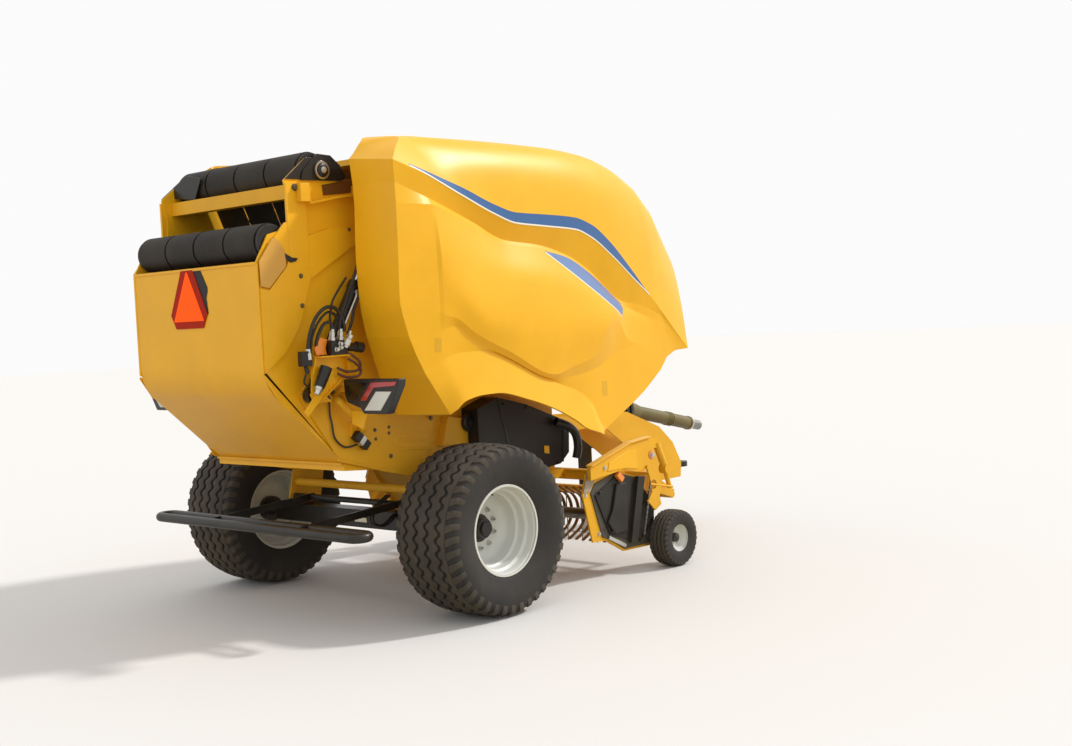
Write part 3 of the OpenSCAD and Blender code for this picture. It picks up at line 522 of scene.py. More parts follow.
class Sketch:
    """A mesh in the making. Places are workshop millimetres."""

    def __init__(self) -> None:
        """Starts an empty mesh."""
        self.bm = bmesh.new()

    def solid(self, outline: Sequence[Vector], shift: Vector) -> None:
        """Adds a flat outline pushed along a direction.

        Args:
            outline: The outline's points in the row frame.
            shift: How far and which way it is pushed.
        """
        points = list(outline)
        near, far = [[self.bm.verts.new(p + move) for p in points] for move in (Vector(), shift)]
        turning = sum((a.cross(b) for a, b in zip(points, points[1:] + points[:1])), Vector())
        outwards = turning.dot(shift) > 0
        self.bm.faces.new(near[::-1] if outwards else near)
        self.bm.faces.new(far if outwards else far[::-1])
        for i in range(len(near)):
            j = (i + 1) % len(near)
            quad = [near[i], near[j], far[j], far[i]]
            self.bm.faces.new(quad if outwards else quad[::-1])

    def plate(self, outline: Sequence[Point2], y: float, thick: float) -> None:
        """Adds a side-view outline, as x and z, as a plate whose middle plane lies at y."""
        self.solid([at(x, y - thick / 2, z) for x, z in outline], Vector((0, thick * MM, 0)))

    def block(self, low: Point3, high: Point3) -> None:
        """Adds a box between two corners."""
        corners = [(low[0], low[1]), (high[0], low[1]), (high[0], high[1]), (low[0], high[1])]
        self.solid([at(x, y, low[2]) for x, y in corners], Vector((0, 0, (high[2] - low[2]) * MM)))

    def beam(self, a: Point3, b: Point3, width: float, height: float, up: Point3 = (0, 0, 1)) -> None:
        """Adds a bar of rectangular section between two points.

        Args:
            a: One end.
            b: The other end.
            width: Its size across.
            height: Its size in the direction of up.
            up: The direction that its height leans to.
        """
        start, end = at(*a), at(*b)
        along = (end - start).normalized()
        across = along.cross(Vector(up)).normalized() * width * MM / 2
        rise = across.cross(along).normalized() * height * MM / 2
        self.solid([start + across + rise, start - across + rise, start - across - rise, start + across - rise],
                   end - start)

    def pipe(self, path: Sequence[Vector], radius: float, sides: int = 12,
             widths: Sequence[float] = ()) -> None:
        """Adds a round tube with closed ends along a path.

        Args:
            path: Points in millimetres.
            radius: The tube's radius in millimetres.
            sides: How many sides it has.
            widths: The radius at each point, where it varies.
        """
        points = [at(*p) for p in path]
        ahead = [(b - a).normalized() for a, b in zip(points, points[1:])]
        tangents = [ahead[0]] + [(a + b).normalized() for a, b in zip(ahead, ahead[1:])] + [ahead[-1]]
        across = tangents[0].orthogonal().normalized()
        rings = []
        for i, (point, tangent) in enumerate(zip(points, tangents)):
            across = (across - tangent * across.dot(tangent)).normalized()
            other = tangent.cross(across)
            r = (widths[i] if widths else radius) * MM
            rings.append([self.bm.verts.new(point + r * (across * math.cos(t) + other * math.sin(t)))
                          for t in (math.tau * k / sides for k in range(sides))])
        for ring, after in zip(rings, rings[1:]):
            for k in range(sides):
                n = (k + 1) % sides
                self.bm.faces.new([ring[k], ring[n], after[n], after[k]])
        self.bm.faces.new(rings[0][::-1])
        self.bm.faces.new(rings[-1])

    def rod(self, a: Point3, b: Point3, radius: float, sides: int = 20) -> None:
        """Adds a round bar between two points."""
        self.pipe([Vector(a), Vector(b)], radius, sides)

    def lathe(self, profile: Sequence[Point2], centre: Point3, axis: Point3, sides: int = 48) -> None:
        """Turns a profile about an axis.

        Args:
            profile: Pairs of a distance along the axis and a radius, from one end to the other.
            centre: The point that distances are measured from.
            axis: The axis's direction.
            sides: How many sides it has.
        """
        along = Vector(axis).normalized()
        across = along.orthogonal().normalized()
        other = along.cross(across)
        rings: list[list[bmesh.types.BMVert]] = []
        for distance, radius in profile:
            middle = at(*centre) + along * distance * MM
            if radius <= 0:
                rings.append([self.bm.verts.new(middle)])
                continue
            rings.append([self.bm.verts.new(middle + radius * MM * (across * math.cos(t) + other * math.sin(t)))
                          for t in (math.tau * k / sides for k in range(sides))])
        for ring, after in zip(rings, rings[1:]):
            for k in range(sides):
                n = (k + 1) % sides
                corners = [ring[k % len(ring)], ring[n % len(ring)], after[n % len(after)], after[k % len(after)]]
                unique = list(dict.fromkeys(corners))
                if len(unique) > 2:
                    self.bm.faces.new(unique)
        if profile[0] != profile[-1]:
            for ring in (rings[0][::-1], rings[-1]):
                if len(ring) > 1:
                    self.bm.faces.new(ring)

    def grid(self, rows: Sequence[Sequence[Vector]], closed: bool = False) -> None:
        """Adds a sheet of quads.

        Args:
            rows: Rows of points in the row frame, all of one length.
            closed: Whether the last row joins the first and each row's end joins its start.
        """
        verts = [[self.bm.verts.new(p) for p in row] for row in rows]
        pairs = list(zip(verts, verts[1:])) + ([(verts[-1], verts[0])] if closed else [])
        width = len(rows[0])
        for row, after in pairs:
            for i in range(width if closed else width - 1):
                n = (i + 1) % width
                self.bm.faces.new([row[i], row[n], after[n], after[i]])

    def bolt(self, place: Point3, axis: Point3, across: float) -> None:
        """Adds a bolt head on its washer.

        Args:
            place: The middle of the face that it stands on.
            axis: The direction in which it stands out.
            across: Its width over the flats.
        """
        self.lathe([(-1, across * 0.74), (across * 0.1, across * 0.74), (across * 0.12, across * 0.66),
                    (across * 0.12, 0)], place, axis, 16)
        self.lathe([(0, across * 0.56), (across * 0.46, across * 0.56), (across * 0.52, across * 0.48),
                    (across * 0.52, 0)], place, axis, 6)

    def side_bolts(self, bolts: Sequence[Point3], sign: int, y: float) -> None:
        """Adds bolts on a face of the machine's side.

        Args:
            bolts: Each one's x, z and width over the flats.
            sign: 1 for the left side, -1 for the right one.
            y: How far the face lies from the middle.
        """
        for x, z, across in bolts:
            self.bolt((x, sign * y, z), (0, sign, 0), across)

    def merge(self) -> None:
        """Makes points that meet one."""
        bmesh.ops.remove_doubles(self.bm, verts=self.bm.verts[:], dist=MERGE_DISTANCE)

    def mend(self) -> None:
        """Works the normals out again, so that they point outwards."""
        bmesh.ops.recalc_face_normals(self.bm, faces=self.bm.faces[:])

    def mesh(self, name: str) -> bpy.types.Mesh:
        """Ends the sketch.

        Args:
            name: The mesh's name.

        Returns:
            What was drawn, as a mesh.
        """
        mesh = bpy.data.meshes.new(name)
        self.bm.to_mesh(mesh)
        self.bm.free()
        return mesh


def sharpen(mesh: bpy.types.Mesh, angle: float) -> None:
    """Shades a mesh smooth but for its sharp edges.

    Args:
        mesh: The mesh.
        angle: Edges sharper than this many degrees stay sharp.
    """
    bm = bmesh.new()
    bm.from_mesh(mesh)
    for face in bm.faces:
        face.smooth = True
    limit = math.radians(angle)
    for edge in bm.edges:
        edge.smooth = len(edge.link_faces) == 2 and edge.calc_face_angle(0.0) < limit
    bm.to_mesh(mesh)
    bm.free()


def add_bevel(piece: bpy.types.Object, width: float) -> None:
    """Gives a piece rounded edges.

    Args:
        piece: The piece.
        width: The rounding's width in millimetres.
    """
    modifier = piece.modifiers.new("rounded edges", "BEVEL")
    modifier.width = width * MM
    modifier.segments = BEVEL_FACES
    modifier.limit_method = "ANGLE"
    modifier.angle_limit = math.radians(BEVEL_ANGLE)
    modifier.use_clamp_overlap = True
    modifier.harden_normals = True


def as_plain_mesh(piece: bpy.types.Object) -> None:
    """Turns a piece and its modifiers into a plain mesh.

    Args:
        piece: The piece, which keeps its name.
    """
    graph = bpy.context.evaluated_depsgraph_get()
    mesh = bpy.data.meshes.new_from_object(piece.evaluated_get(graph), depsgraph=graph)
    piece.modifiers.clear()
    old = piece.data
    piece.data = mesh
    if old.users == 0:
        bpy.data.meshes.remove(old)


class Assembly:
    """What every sub-assembly of the machine can do."""

    def place(self, sketch: Sketch, name: str, body: str, finish: Finish, bevel: float = 0.0,
              sharp: float = SHARP_ANGLE, replaces: Sequence[str] = (), mend: bool = False,
              slot: str = "") -> bpy.types.Object:
        """Turns a sketch into a piece of the machine.

        Args:
            sketch: The finished sketch.
            name: The piece's name.
            body: The body that it rides on.
            finish: Its finish.
            bevel: Width in millimetres of its rounded edges.
            sharp: Edges sharper than this angle in degrees stay sharp.
            replaces: The CAD nodes that it stands for.
            mend: Whether its normals are worked out again.
            slot: The record's material slot, where it isn't the finish's own.

        Returns:
            The piece.
        """
        sketch.merge()
        if mend:
            sketch.mend()
        return self.settle(sketch.mesh(name), name, body, finish, bevel, sharp, replaces, slot)

    def settle(self, mesh: bpy.types.Mesh, name: str, body: str, finish: Finish, bevel: float = 0.0,
               sharp: float = SHARP_ANGLE, replaces: Sequence[str] = (), slot: str = "") -> bpy.types.Object:
        """Gives a mesh its object, finish, rounded edges and body.

        Args:
            mesh: The mesh.
            name: The piece's name.
            body: The body that it rides on.
            finish: Its finish.
            bevel: Width in millimetres of its rounded edges.
            sharp: Edges sharper than this angle in degrees stay sharp.
            replaces: The CAD nodes that it stands for.
            slot: The record's material slot, where it isn't the finish's own; not used.

        Returns:
            The piece.
        """
        sharpen(mesh, sharp)
        mesh.materials.clear()
        mesh.materials.append(finish.material())
        piece = bpy.data.objects.new(name, mesh)
        bpy.context.scene.collection.objects.link(piece)
        if bevel:
            add_bevel(piece, bevel)
        if replaces:
            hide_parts(*replaces)
        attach(piece, body)
        LOG.info("%s rides on %s, %d faces", name, body, len(mesh.polygons))
        return piece

    def dress(self, node: str, finish: Finish, bevel: float = 1.6) -> None:
        """Stands a piece with rounded edges and its own finish in for a CAD node of the right shape.

        Args:
            node: The CAD node.
            finish: The finish.
            bevel: Width in millimetres of the rounded edges.
        """
        source = frame["nodes"][node]
        sketch = Sketch()
        sketch.bm.from_mesh(source.data)
        sketch.merge()
        bmesh.ops.dissolve_limit(sketch.bm, angle_limit=math.radians(FLAT_ANGLE), verts=sketch.bm.verts[:],
                                 edges=sketch.bm.edges[:])
        name = node + "_dressed"
        self.settle(sketch.mesh(name), name, source["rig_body"], finish, bevel, replaces=[node])


class PatternKind(Enum):
    """How a geometry node pattern lays out its copies."""

    RING = "copies in a ring about the y axis"
    ROW = "copies in a straight row"


@dataclass
class Pattern:
    """Copies one small shape many times with geometry nodes.

    Attributes:
        kind: Whether the copies form a ring or a row.
        count: How many copies there are.
        place: A ring's centre in millimetres, or a row's step in millimetres.
    """

    kind: PatternKind
    count: int
    place: Point3

    def tree(self) -> bpy.types.NodeTree:
        """The node tree of this kind of pattern, built the first time it is asked for."""
        made = bpy.data.node_groups.get(self.kind.value)
        return made or self.build_tree()

    def build_tree(self) -> bpy.types.NodeTree:
        """Builds the node tree.

        Returns:
            The tree, with inputs for its count, place and material.
        """
        tree = bpy.data.node_groups.new(self.kind.value, "GeometryNodeTree")
        for label, kind in (("Geometry", "Geometry"), ("Count", "Int"), ("Place", "Vector"),
                            ("Material", "Material")):
            tree.interface.new_socket(label, in_out="INPUT", socket_type="NodeSocket" + kind)
        tree.interface.new_socket("Geometry", in_out="OUTPUT", socket_type="NodeSocketGeometry")
        g = Graph(tree)
        source, sink = g.add("NodeGroupInput"), g.add("NodeGroupOutput")
        line = g.add("GeometryNodeMeshLine", {"Count": source.outputs["Count"], "Offset": (0.0, 0.0, 0.0)})
        copies = g.add("GeometryNodeInstanceOnPoints", {"Points": line.outputs["Mesh"]})
        if self.kind is PatternKind.RING:
            back = g.add("ShaderNodeVectorMath", {0: source.outputs["Place"], "Scale": -1.0}, operation="SCALE")
            centred = g.add("GeometryNodeTransform", {"Geometry": source.outputs["Geometry"],
                                                      "Translation": back.outputs[0]})
            share = g.math("DIVIDE", math.tau, source.outputs["Count"])
            turn = g.math("MULTIPLY", g.add("GeometryNodeInputIndex").outputs[0], share)
            spin = g.add("FunctionNodeAxisAngleToRotation", {"Axis": (0.0, 1.0, 0.0), "Angle": turn})
            g.tree.links.new(centred.outputs[0], copies.inputs["Instance"])
            g.tree.links.new(spin.outputs[0], copies.inputs["Rotation"])
            last = g.add("GeometryNodeTransform", {"Geometry": copies.outputs[0],
                                                   "Translation": source.outputs["Place"]})
        else:
            g.tree.links.new(source.outputs["Place"], line.inputs["Offset"])
            g.tree.links.new(source.outputs["Geometry"], copies.inputs["Instance"])
            last = copies
        real = g.add("GeometryNodeRealizeInstances", {0: last.outputs[0]})
        done = g.add("GeometryNodeSetMaterial", {"Geometry": real.outputs[0], "Material": source.outputs["Material"]})
        tree.links.new(done.outputs[0], sink.inputs[0])
        return tree

    def spread(self, one: bpy.types.Mesh, finish: Finish) -> bpy.types.Mesh:
        """Copies a shape.

        Args:
            one: The shape, in the place of its first copy.
            finish: The copies' finish.

        Returns:
            One plain mesh with all the copies.
        """
        carrier = bpy.data.objects.new("pattern", one)
        bpy.context.scene.collection.objects.link(carrier)
        modifier = carrier.modifiers.new("pattern", "NODES")
        modifier.node_group = self.tree()
        ids = {item.name: item.identifier for item in modifier.node_group.interface.items_tree
               if item.in_out == "INPUT"}
        modifier[ids["Count"]] = self.count
        modifier[ids["Place"]] = at(*self.place) if self.kind is PatternKind.RING else Vector(self.place) * MM
        modifier[ids["Material"]] = finish.material()
        graph = bpy.context.evaluated_depsgraph_get()
        mesh = bpy.data.meshes.new_from_object(carrier.evaluated_get(graph), depsgraph=graph)
        bpy.data.objects.remove(carrier)
        return mesh


def monotone(line: Sequence[Sequence[float]], x: float, column: int) -> float:
    """Reads a smooth curve through a line's points that never overshoots them.

    Args:
        line: Rows whose first column is x, rising.
        x: Where to read.
        column: Which column to read.

    Returns:
        The value at x.
    """
    xs, ys = [p[0] for p in line], [p[column] for p in line]
    if x <= xs[0] or x >= xs[-1]:
        return ys[0] if x <= xs[0] else ys[-1]
    i = max(k for k in range(len(xs) - 1) if xs[k] <= x)
    slopes = [(b - a) / (d - c) for a, b, c, d in zip(ys, ys[1:], xs, xs[1:])]

    def bend(k: int) -> float:
        """The curve's slope at a point.

        Args:
            k: The point's number.

        Returns:
            The harmonic mean of the slopes beside it, or none where they differ in sign.
        """
        if k in (0, len(xs) - 1):
            return slopes[min(k, len(slopes) - 1)]
        before, after = slopes[k - 1], slopes[k]
        return 0.0 if before * after <= 0 else 2 * before * after / (before + after)

    width = xs[i + 1] - xs[i]
    t = (x - xs[i]) / width
    return ((1 + 2 * t) * (1 - t) ** 2 * ys[i] + t * (1 - t) ** 2 * width * bend(i)
            + t * t * (3 - 2 * t) * ys[i + 1] - t * t * (1 - t) * width * bend(i + 1))


def along_points(points: Sequence[Point3], share: float) -> Point3:
    """Finds a place on a smooth curve through points.

    Args:
        points: The points.
        share: How far along it, from 0 to 1.

    Returns:
        The place.
    """
    steps = [math.dist(a, b) for a, b in zip(points, points[1:])]
    marks = [sum(steps[:k]) for k in range(len(points))]
    table = [(mark, *point) for mark, point in zip(marks, points)]
    return tuple(monotone(table, share * marks[-1], column) for column in (1, 2, 3))


@dataclass
class SideShields(Assembly):
    """The two moulded side shields with their films. The shape's tables repeat those of the part's source.

    Attributes:
        half: How far the bulge lies from the middle.
        thick: The wall's thickness.
        lines: Lines along the skin, from the roof to the foot: x, height, and how far inside the bulge.
        joins: The x of the stations between the two corners.
        rear_corner: Each line's two points round the rear corner, as x, y and height.
        front_corner: Each line's two points round the front corner.
        step: The length of a face along the skin.
        step_line: The line on which that is measured.
        runs: Runs of lines that one smooth curve passes through: the first, the last and the faces between two.
        folded_lines: Lines that are crisp folds.
        folded_stations: Stations that are crisp folds over their whole height.
        upright: Stations that are crisp folds over a part of it.
        upright_reach: The two lines between which those are.
        crease: The line that the stripe's foot follows.
        stripe_top: The stripe's upper edge as x and z.
        stripe_reach: The stripe's first and last x.
        panel_top: The pale panel's upper edge as x and z.
        panel_foot: Its lower edge.
        labels: The blank labels' middles as x and z, their widths and their heights.
        film_steps: Faces across a film.
    """

    half: float = 1245.0
    thick: float = 14.0
    lines: tuple[Path, ...] = (
        ((-518, 2950, 463), (-276, 2962, 463), (800, 2962, 463), (1290, 2942, 463), (1570, 2882, 463),
         (1850, 2760, 463)),
        ((-480, 2928, 270), (-276, 2942, 270), (400, 2948, 270), (900, 2940, 270), (1290, 2905, 270),
         (1570, 2832, 270), (1850, 2704, 275)),
        ((-520, 2850, 150), (-276, 2790, 150), (0, 2760, 135), (400, 2730, 125), (900, 2710, 125),
         (1290, 2640, 130), (1570, 2512, 140), (1850, 2322, 150)),
        ((-618, 2770, 95), (-483, 2734, 85), (-77, 2575, 85), (204, 2467, 85), (394, 2414, 85),
         (640, 2400, 85), (969, 2381, 85), (1137, 2328, 85), (1355, 2200, 85), (1560, 2060, 89),
         (1758, 1927, 93), (1863, 1840, 95)),
        ((-598, 2641, 112), (-346, 2558, 108), (32, 2424, 126), (326, 2312, 132), (636, 2284, 132),
         (935, 2212, 132), (1149, 2110, 132), (1483, 1893, 124), (1640, 1870, 110), (1850, 1800, 104)),
        ((-600, 2560, 104), (-346, 2515, 78), (32, 2395, 112), (326, 2288, 118), (636, 2260, 118),
         (935, 2186, 118), (1149, 2084, 118), (1440, 1885, 110), (1475, 1868, 116), (1850, 1745, 104)),
        ((-610, 2200, 98), (-346, 2200, 52), (-325, 2200, 40), (12, 2100, 32), (608, 2030, 30),
         (1119, 1920, 40), (1350, 1860, 58), (1440, 1830, 80), (1475, 1815, 96), (1850, 1690, 104)),
        ((-620, 1960, 95), (-346, 1990, 50), (-300, 2010, 32), (12, 1830, 2), (608, 1740, 0),
         (1119, 1720, 4), (1300, 1775, 30), (1400, 1760, 66), (1475, 1740, 84), (1850, 1620, 103)),
        ((-570, 1740, 92), (-346, 1880, 50), (-322, 1860, 42), (-223, 1835, 36), (-73, 1737, 30),
         (204, 1614, 24), (643, 1440, 26), (809, 1480, 28), (1006, 1523, 28), (1190, 1640, 28),
         (1337, 1735, 50), (1475, 1620, 74), (1850, 1540, 100)),
        ((-530, 1640, 90), (-346, 1760, 60), (-223, 1790, 56), (-73, 1700, 52), (204, 1578, 48),
         (665, 1412, 46), (884, 1421, 56), (1091, 1455, 62), (1339, 1552, 71), (1475, 1570, 78),
         (1850, 1500, 98)),
        ((-465, 1520, 90), (-340, 1588, 75), (-166, 1628, 68), (-9, 1629, 62), (156, 1603, 62),
         (390, 1522, 62), (678, 1385, 62), (908, 1305, 62), (1044, 1200, 60), (1098, 1090, 59),
         (1140, 1060, 61), (1475, 1280, 76), (1850, 1450, 96)),
        ((-270, 1264, 60), (-191, 1338, 25), (-57, 1362, 15), (68, 1364, 15), (366, 1299, 15),
         (608, 1219, 15), (813, 1123, 15), (905, 1067, 15), (1050, 1022, 15), (1098, 1005, 22),
         (1125, 1015, 60), (1244, 1074, 66), (1623, 1254, 82), (1850, 1397, 92)))
    joins: Numbers = (-346, -322, -223, -40, 204, 400, 650, 884, 1006, 1098, 1190, 1337, 1475, 1640, 1850)
    rear_corner: tuple[Path, ...] = (
        ((-518, 782, 2941), (-480, 782, 2950)),
        ((-560, 800, 2905), (-453, 1020, 2925)),
        ((-610, 800, 2845), (-540, 1095, 2852)),
        ((-647, 800, 2808), (-618, 1150, 2770)),
        ((-630, 800, 2655), (-598, 1133, 2641)),
        ((-625, 800, 2540), (-602, 1140, 2520)),
        ((-636, 800, 2220), (-614, 1148, 2200)),
        ((-627, 800, 1965), (-622, 1150, 1960)),
        ((-588, 800, 1750), (-568, 1153, 1740)),
        ((-550, 800, 1640), (-525, 1155, 1640)),
        ((-508, 800, 1517), (-458, 1155, 1520)),
        ((-378, 800, 1264), (-285, 1170, 1262)))
    front_corner: tuple[Path, ...] = (
        ((2060, 782, 2610), (2330, 782, 2350)),
        ((2050, 955, 2547), (2310, 935, 2210)),
        ((1995, 1080, 2200), (2262, 1055, 1880)),
        ((1880, 1149, 1825), (2200, 1145, 1530)),
        ((1905, 1141, 1775), (2180, 1142, 1529)),
        ((1925, 1139, 1735), (2160, 1140, 1528)),
        ((1943, 1138, 1690), (2141, 1138, 1527)),
        ((1955, 1137, 1645), (2122, 1136, 1526)),
        ((1962, 1137, 1605), (2103, 1135, 1525)),
        ((1962, 1138, 1575), (2084, 1134, 1524)),
        ((1956, 1140, 1540), (2065, 1133, 1522)),
        ((1940, 1143, 1480), (2046, 1132, 1518)))
    stripe_top: Outline = ((-491, 2751), (-64, 2627), (219, 2527), (411, 2484), (727, 2476), (963, 2465),
                           (1156, 2416), (1325, 2314), (1521, 2151), (1757, 1929))
    panel_top: Outline = ((686, 2242), (897, 2202), (1106, 2107), (1441, 1882))
    panel_foot: Outline = ((686, 2238), (1396, 1791))
    labels: tuple[tuple[float, float, float, float], ...] = ((-360, 1682, 50, 82), (1170, 1310, 56, 100))
    stripe_reach: Point2 = (-488, 1754)
    crease: int = 3
    film_steps: int = 12
    step: float = 36.0
    step_line: int = 6
    runs: tuple[Numbers, ...] = ((0, 3, 5), (3, 4, 3), (4, 5, 1), (5, 8, 5), (8, 9, 2), (9, 10, 2), (10, 11, 4))
    folded_lines: Numbers = (3, 4, 5, 8, 9, 10)
    folded_stations: Numbers = (1, 17)
    upright: Numbers = (2, 3)
    upright_reach: Numbers = (4, 9)

    def corner(self, i: int, j: int) -> Point3:
        """The skin's point where a station crosses a line, as in the part's source.

        Args:
            i: The station.
            j: The line.

        Returns:
            The point.
        """
        last = len(self.joins) + 4
        if i < 2:
            return self.rear_corner[j][i]
        if i >= last - 2:
            return self.front_corner[j][i - last + 2]
        line = self.lines[j]
        x = max(self.joins[i - 2], line[0][0] + 25 * (i - 1))
        return self.on_line(j, x)

    def on_line(self, j: int, x: float) -> Point3:
        """The skin's point on a line.

        Args:
            j: The line.
            x: The point's x.

        Returns:
            The point.
        """
        line = self.lines[j]
        return (x, self.half - monotone(line, x, 2), monotone(line, x, 1))

    def station(self, i: int, share: float) -> list[Point3]:
        """The points of all lines between station i and the next one.

        Args:
            i: The station.
            share: How far on the way to the next station, from 0 to 1.

        Returns:
            One point for each line, from the roof to the foot.
        """
        points = []
        for j in range(len(self.lines)):
            a, b = self.corner(i, j), self.corner(min(i + 1, len(self.joins) + 3), j)
            if 2 <= i < len(self.joins) + 1:
                points.append(self.on_line(j, a[0] + (b[0] - a[0]) * share))
            else:
                points.append(tuple(p + (q - p) * share for p, q in zip(a, b)))
        return points

    def skin(self) -> tuple[list[list[Point3]], set[tuple[int, int]]]:
        """The whole skin as fine rows of points.

        Returns:
            The stations' points, and the crisp folds as pairs of point numbers, counted station by station.
        """
        stations, marks = [], []
        count = len(self.joins) + 4
        for i in range(count - 1):
            here, there = self.corner(i, self.step_line), self.corner(i + 1, self.step_line)
            steps = max(1, round(math.dist(here, there) / self.step))
            marks.append(len(stations))
            stations += [self.station(i, k / steps) for k in range(steps)]
        stations.append(self.station(count - 2, 1.0))
        rows, columns = [], {}
        for points in stations:
            fine: list[Point3] = []
            for first, last, faces in self.runs:
                for line in range(first, last):
                    columns[line] = len(fine) + faces * (line - first)
                total = faces * (last - first)
                fine += [along_points(points[first:last + 1], k / total) for k in range(total)]
            rows.append(fine + [points[-1]])
        width = len(rows[0])
        low, high = (columns[line] for line in self.upright_reach)
        folds = {(r * width + columns[line], (r + 1) * width + columns[line])
                 for line in self.folded_lines for r in range(len(rows) - 1)}
        folds |= {(marks[i] * width + c, marks[i] * width + c + 1) for i in self.folded_stations
                  for c in range(width - 1)}
        folds |= {(marks[i] * width + c, marks[i] * width + c + 1) for i in self.upright for c in range(low, high)}
        return rows, folds

    def shell(self, sign: int) -> bpy.types.Object:
        """Builds one shield.

        Args:
            sign: 1 for the left shield, -1 for the right one.

        Returns:
            The shield as a plain mesh piece.
        """
        rows, folds = self.skin()
        name, body = "shield_skin_" + side_word(sign), "shield_" + side_word(sign)
        sketch = Sketch()
        sketch.grid([[at(x, sign * y, z) for x, y, z in row] for row in rows])
        if sign > 0:
            bmesh.ops.reverse_faces(sketch.bm, faces=sketch.bm.faces[:])
        piece = self.settle(sketch.mesh(name), name, body, Paint.yellow, sharp=35.0, replaces=[body])
        count = len(piece.data.vertices)
        wall = piece.modifiers.new("wall", "SOLIDIFY")
        wall.thickness, wall.offset, wall.use_even_offset = self.thick * MM, -1.0, False
        as_plain_mesh(piece)
        for edge in piece.data.edges:
            a, b = sorted(edge.vertices)
            rim = a < count <= b
            edge.use_edge_sharp = rim or (a % count, b % count) in folds
        fold = math.radians(40)
        bm = bmesh.new()
        bm.from_mesh(piece.data)
        for edge in bm.edges:
            edge.smooth = edge.smooth and edge.calc_face_angle(0.0) < fold
        bm.to_mesh(piece.data)
        bm.free()
        return piece

    def film(self, shell: BVHTree, sign: int, top: Sequence[Point2], foot: Sequence[Point2], name: str,
             finish: Finish, proud: float = 1.4) -> None:
        """Lays a film on a shield between two lines seen from the side.

        Args:
            shell: The shield's faces.
            sign: 1 for the left shield, -1 for the right one.
            top: The film's upper edge as x and z.
            foot: Its lower edge, with as many points.
            name: The piece's name.
            finish: Its finish.
            proud: How far it stands off the shield.
        """
        rows = []
        for high, low in zip(top, foot):
            row = []
            for k in range(self.film_steps + 1):
                x, z = (high[n] + (low[n] - high[n]) * k / self.film_steps for n in (0, 1))
                place, normal, _, _ = shell.ray_cast(at(x, sign * self.half * 1.2, z), Vector((0, -sign, 0)))
                row.append(place + normal * proud * MM)
            rows.append(row if sign < 0 else row[::-1])
        sketch = Sketch()
        sketch.grid(rows)
        side = side_word(sign)
        piece = self.place(sketch, f"{name}_{side}", "shield_" + side, finish, sharp=60.0)
        wall = piece.modifiers.new("film", "SOLIDIFY")
        wall.thickness, wall.offset = 0.7 * MM, -1.0
        as_plain_mesh(piece)

    def films(self, shell: bpy.types.Object, sign: int) -> None:
        """Lays the stripe, the panel, their pale edges and the blank labels on a shield.

        Args:
            shell: The shield.
            sign: 1 for the left shield, -1 for the right one.
        """
        bm = bmesh.new()
        bm.from_mesh(shell.data)
        tree = BVHTree.FromBMesh(bm)
        bm.free()
        count = 90
        first, last = self.stripe_reach
        xs = [first + (last - first) * k / count for k in range(count + 1)]
        crease = [monotone(self.lines[self.crease], x, 1) for x in xs]
        top = [max(monotone(self.stripe_top, x, 1), z + 9) for x, z in zip(xs, crease)]
        foot = [(x, z + 8) for x, z in zip(xs, crease)]
        self.film(tree, sign, list(zip(xs, top)), foot, "stripe", Paint.blue)
        self.film(tree, sign, foot, [(x, z - 2) for x, z in zip(xs, crease)], "stripe_edge", Paint.white)
        count = 60
        shares = [k / count for k in range(count + 1)]
        first, last = self.panel_top[0][0], self.panel_top[-1][0]
        top = [(first + (last - first) * s, monotone(self.panel_top, first + (last - first) * s, 1)) for s in shares]
        (x0, z0), (x1, z1) = self.panel_foot
        foot = [(x0 + (x1 - x0) * s, z0 + (z1 - z0) * s) for s in shares]
        self.film(tree, sign, top, foot, "side_panel", Paint.pale_blue)
        self.film(tree, sign, foot, [(x - 3, z - 9) for x, z in foot], "side_panel_edge", Paint.white)
        for number, (x, z, wide, high) in enumerate(self.labels):
            top = [(x - wide / 2 + wide * k / 4, z + high / 2) for k in range(5)]
            self.film(tree, sign, top, [(u, v - high) for u, v in top], f"label_{number + 1}", Paint.label, 0.9)

    def build(self) -> None:
        """Builds both shields and their films."""
        for sign in both_sides():
            self.films(self.shell(sign), sign)


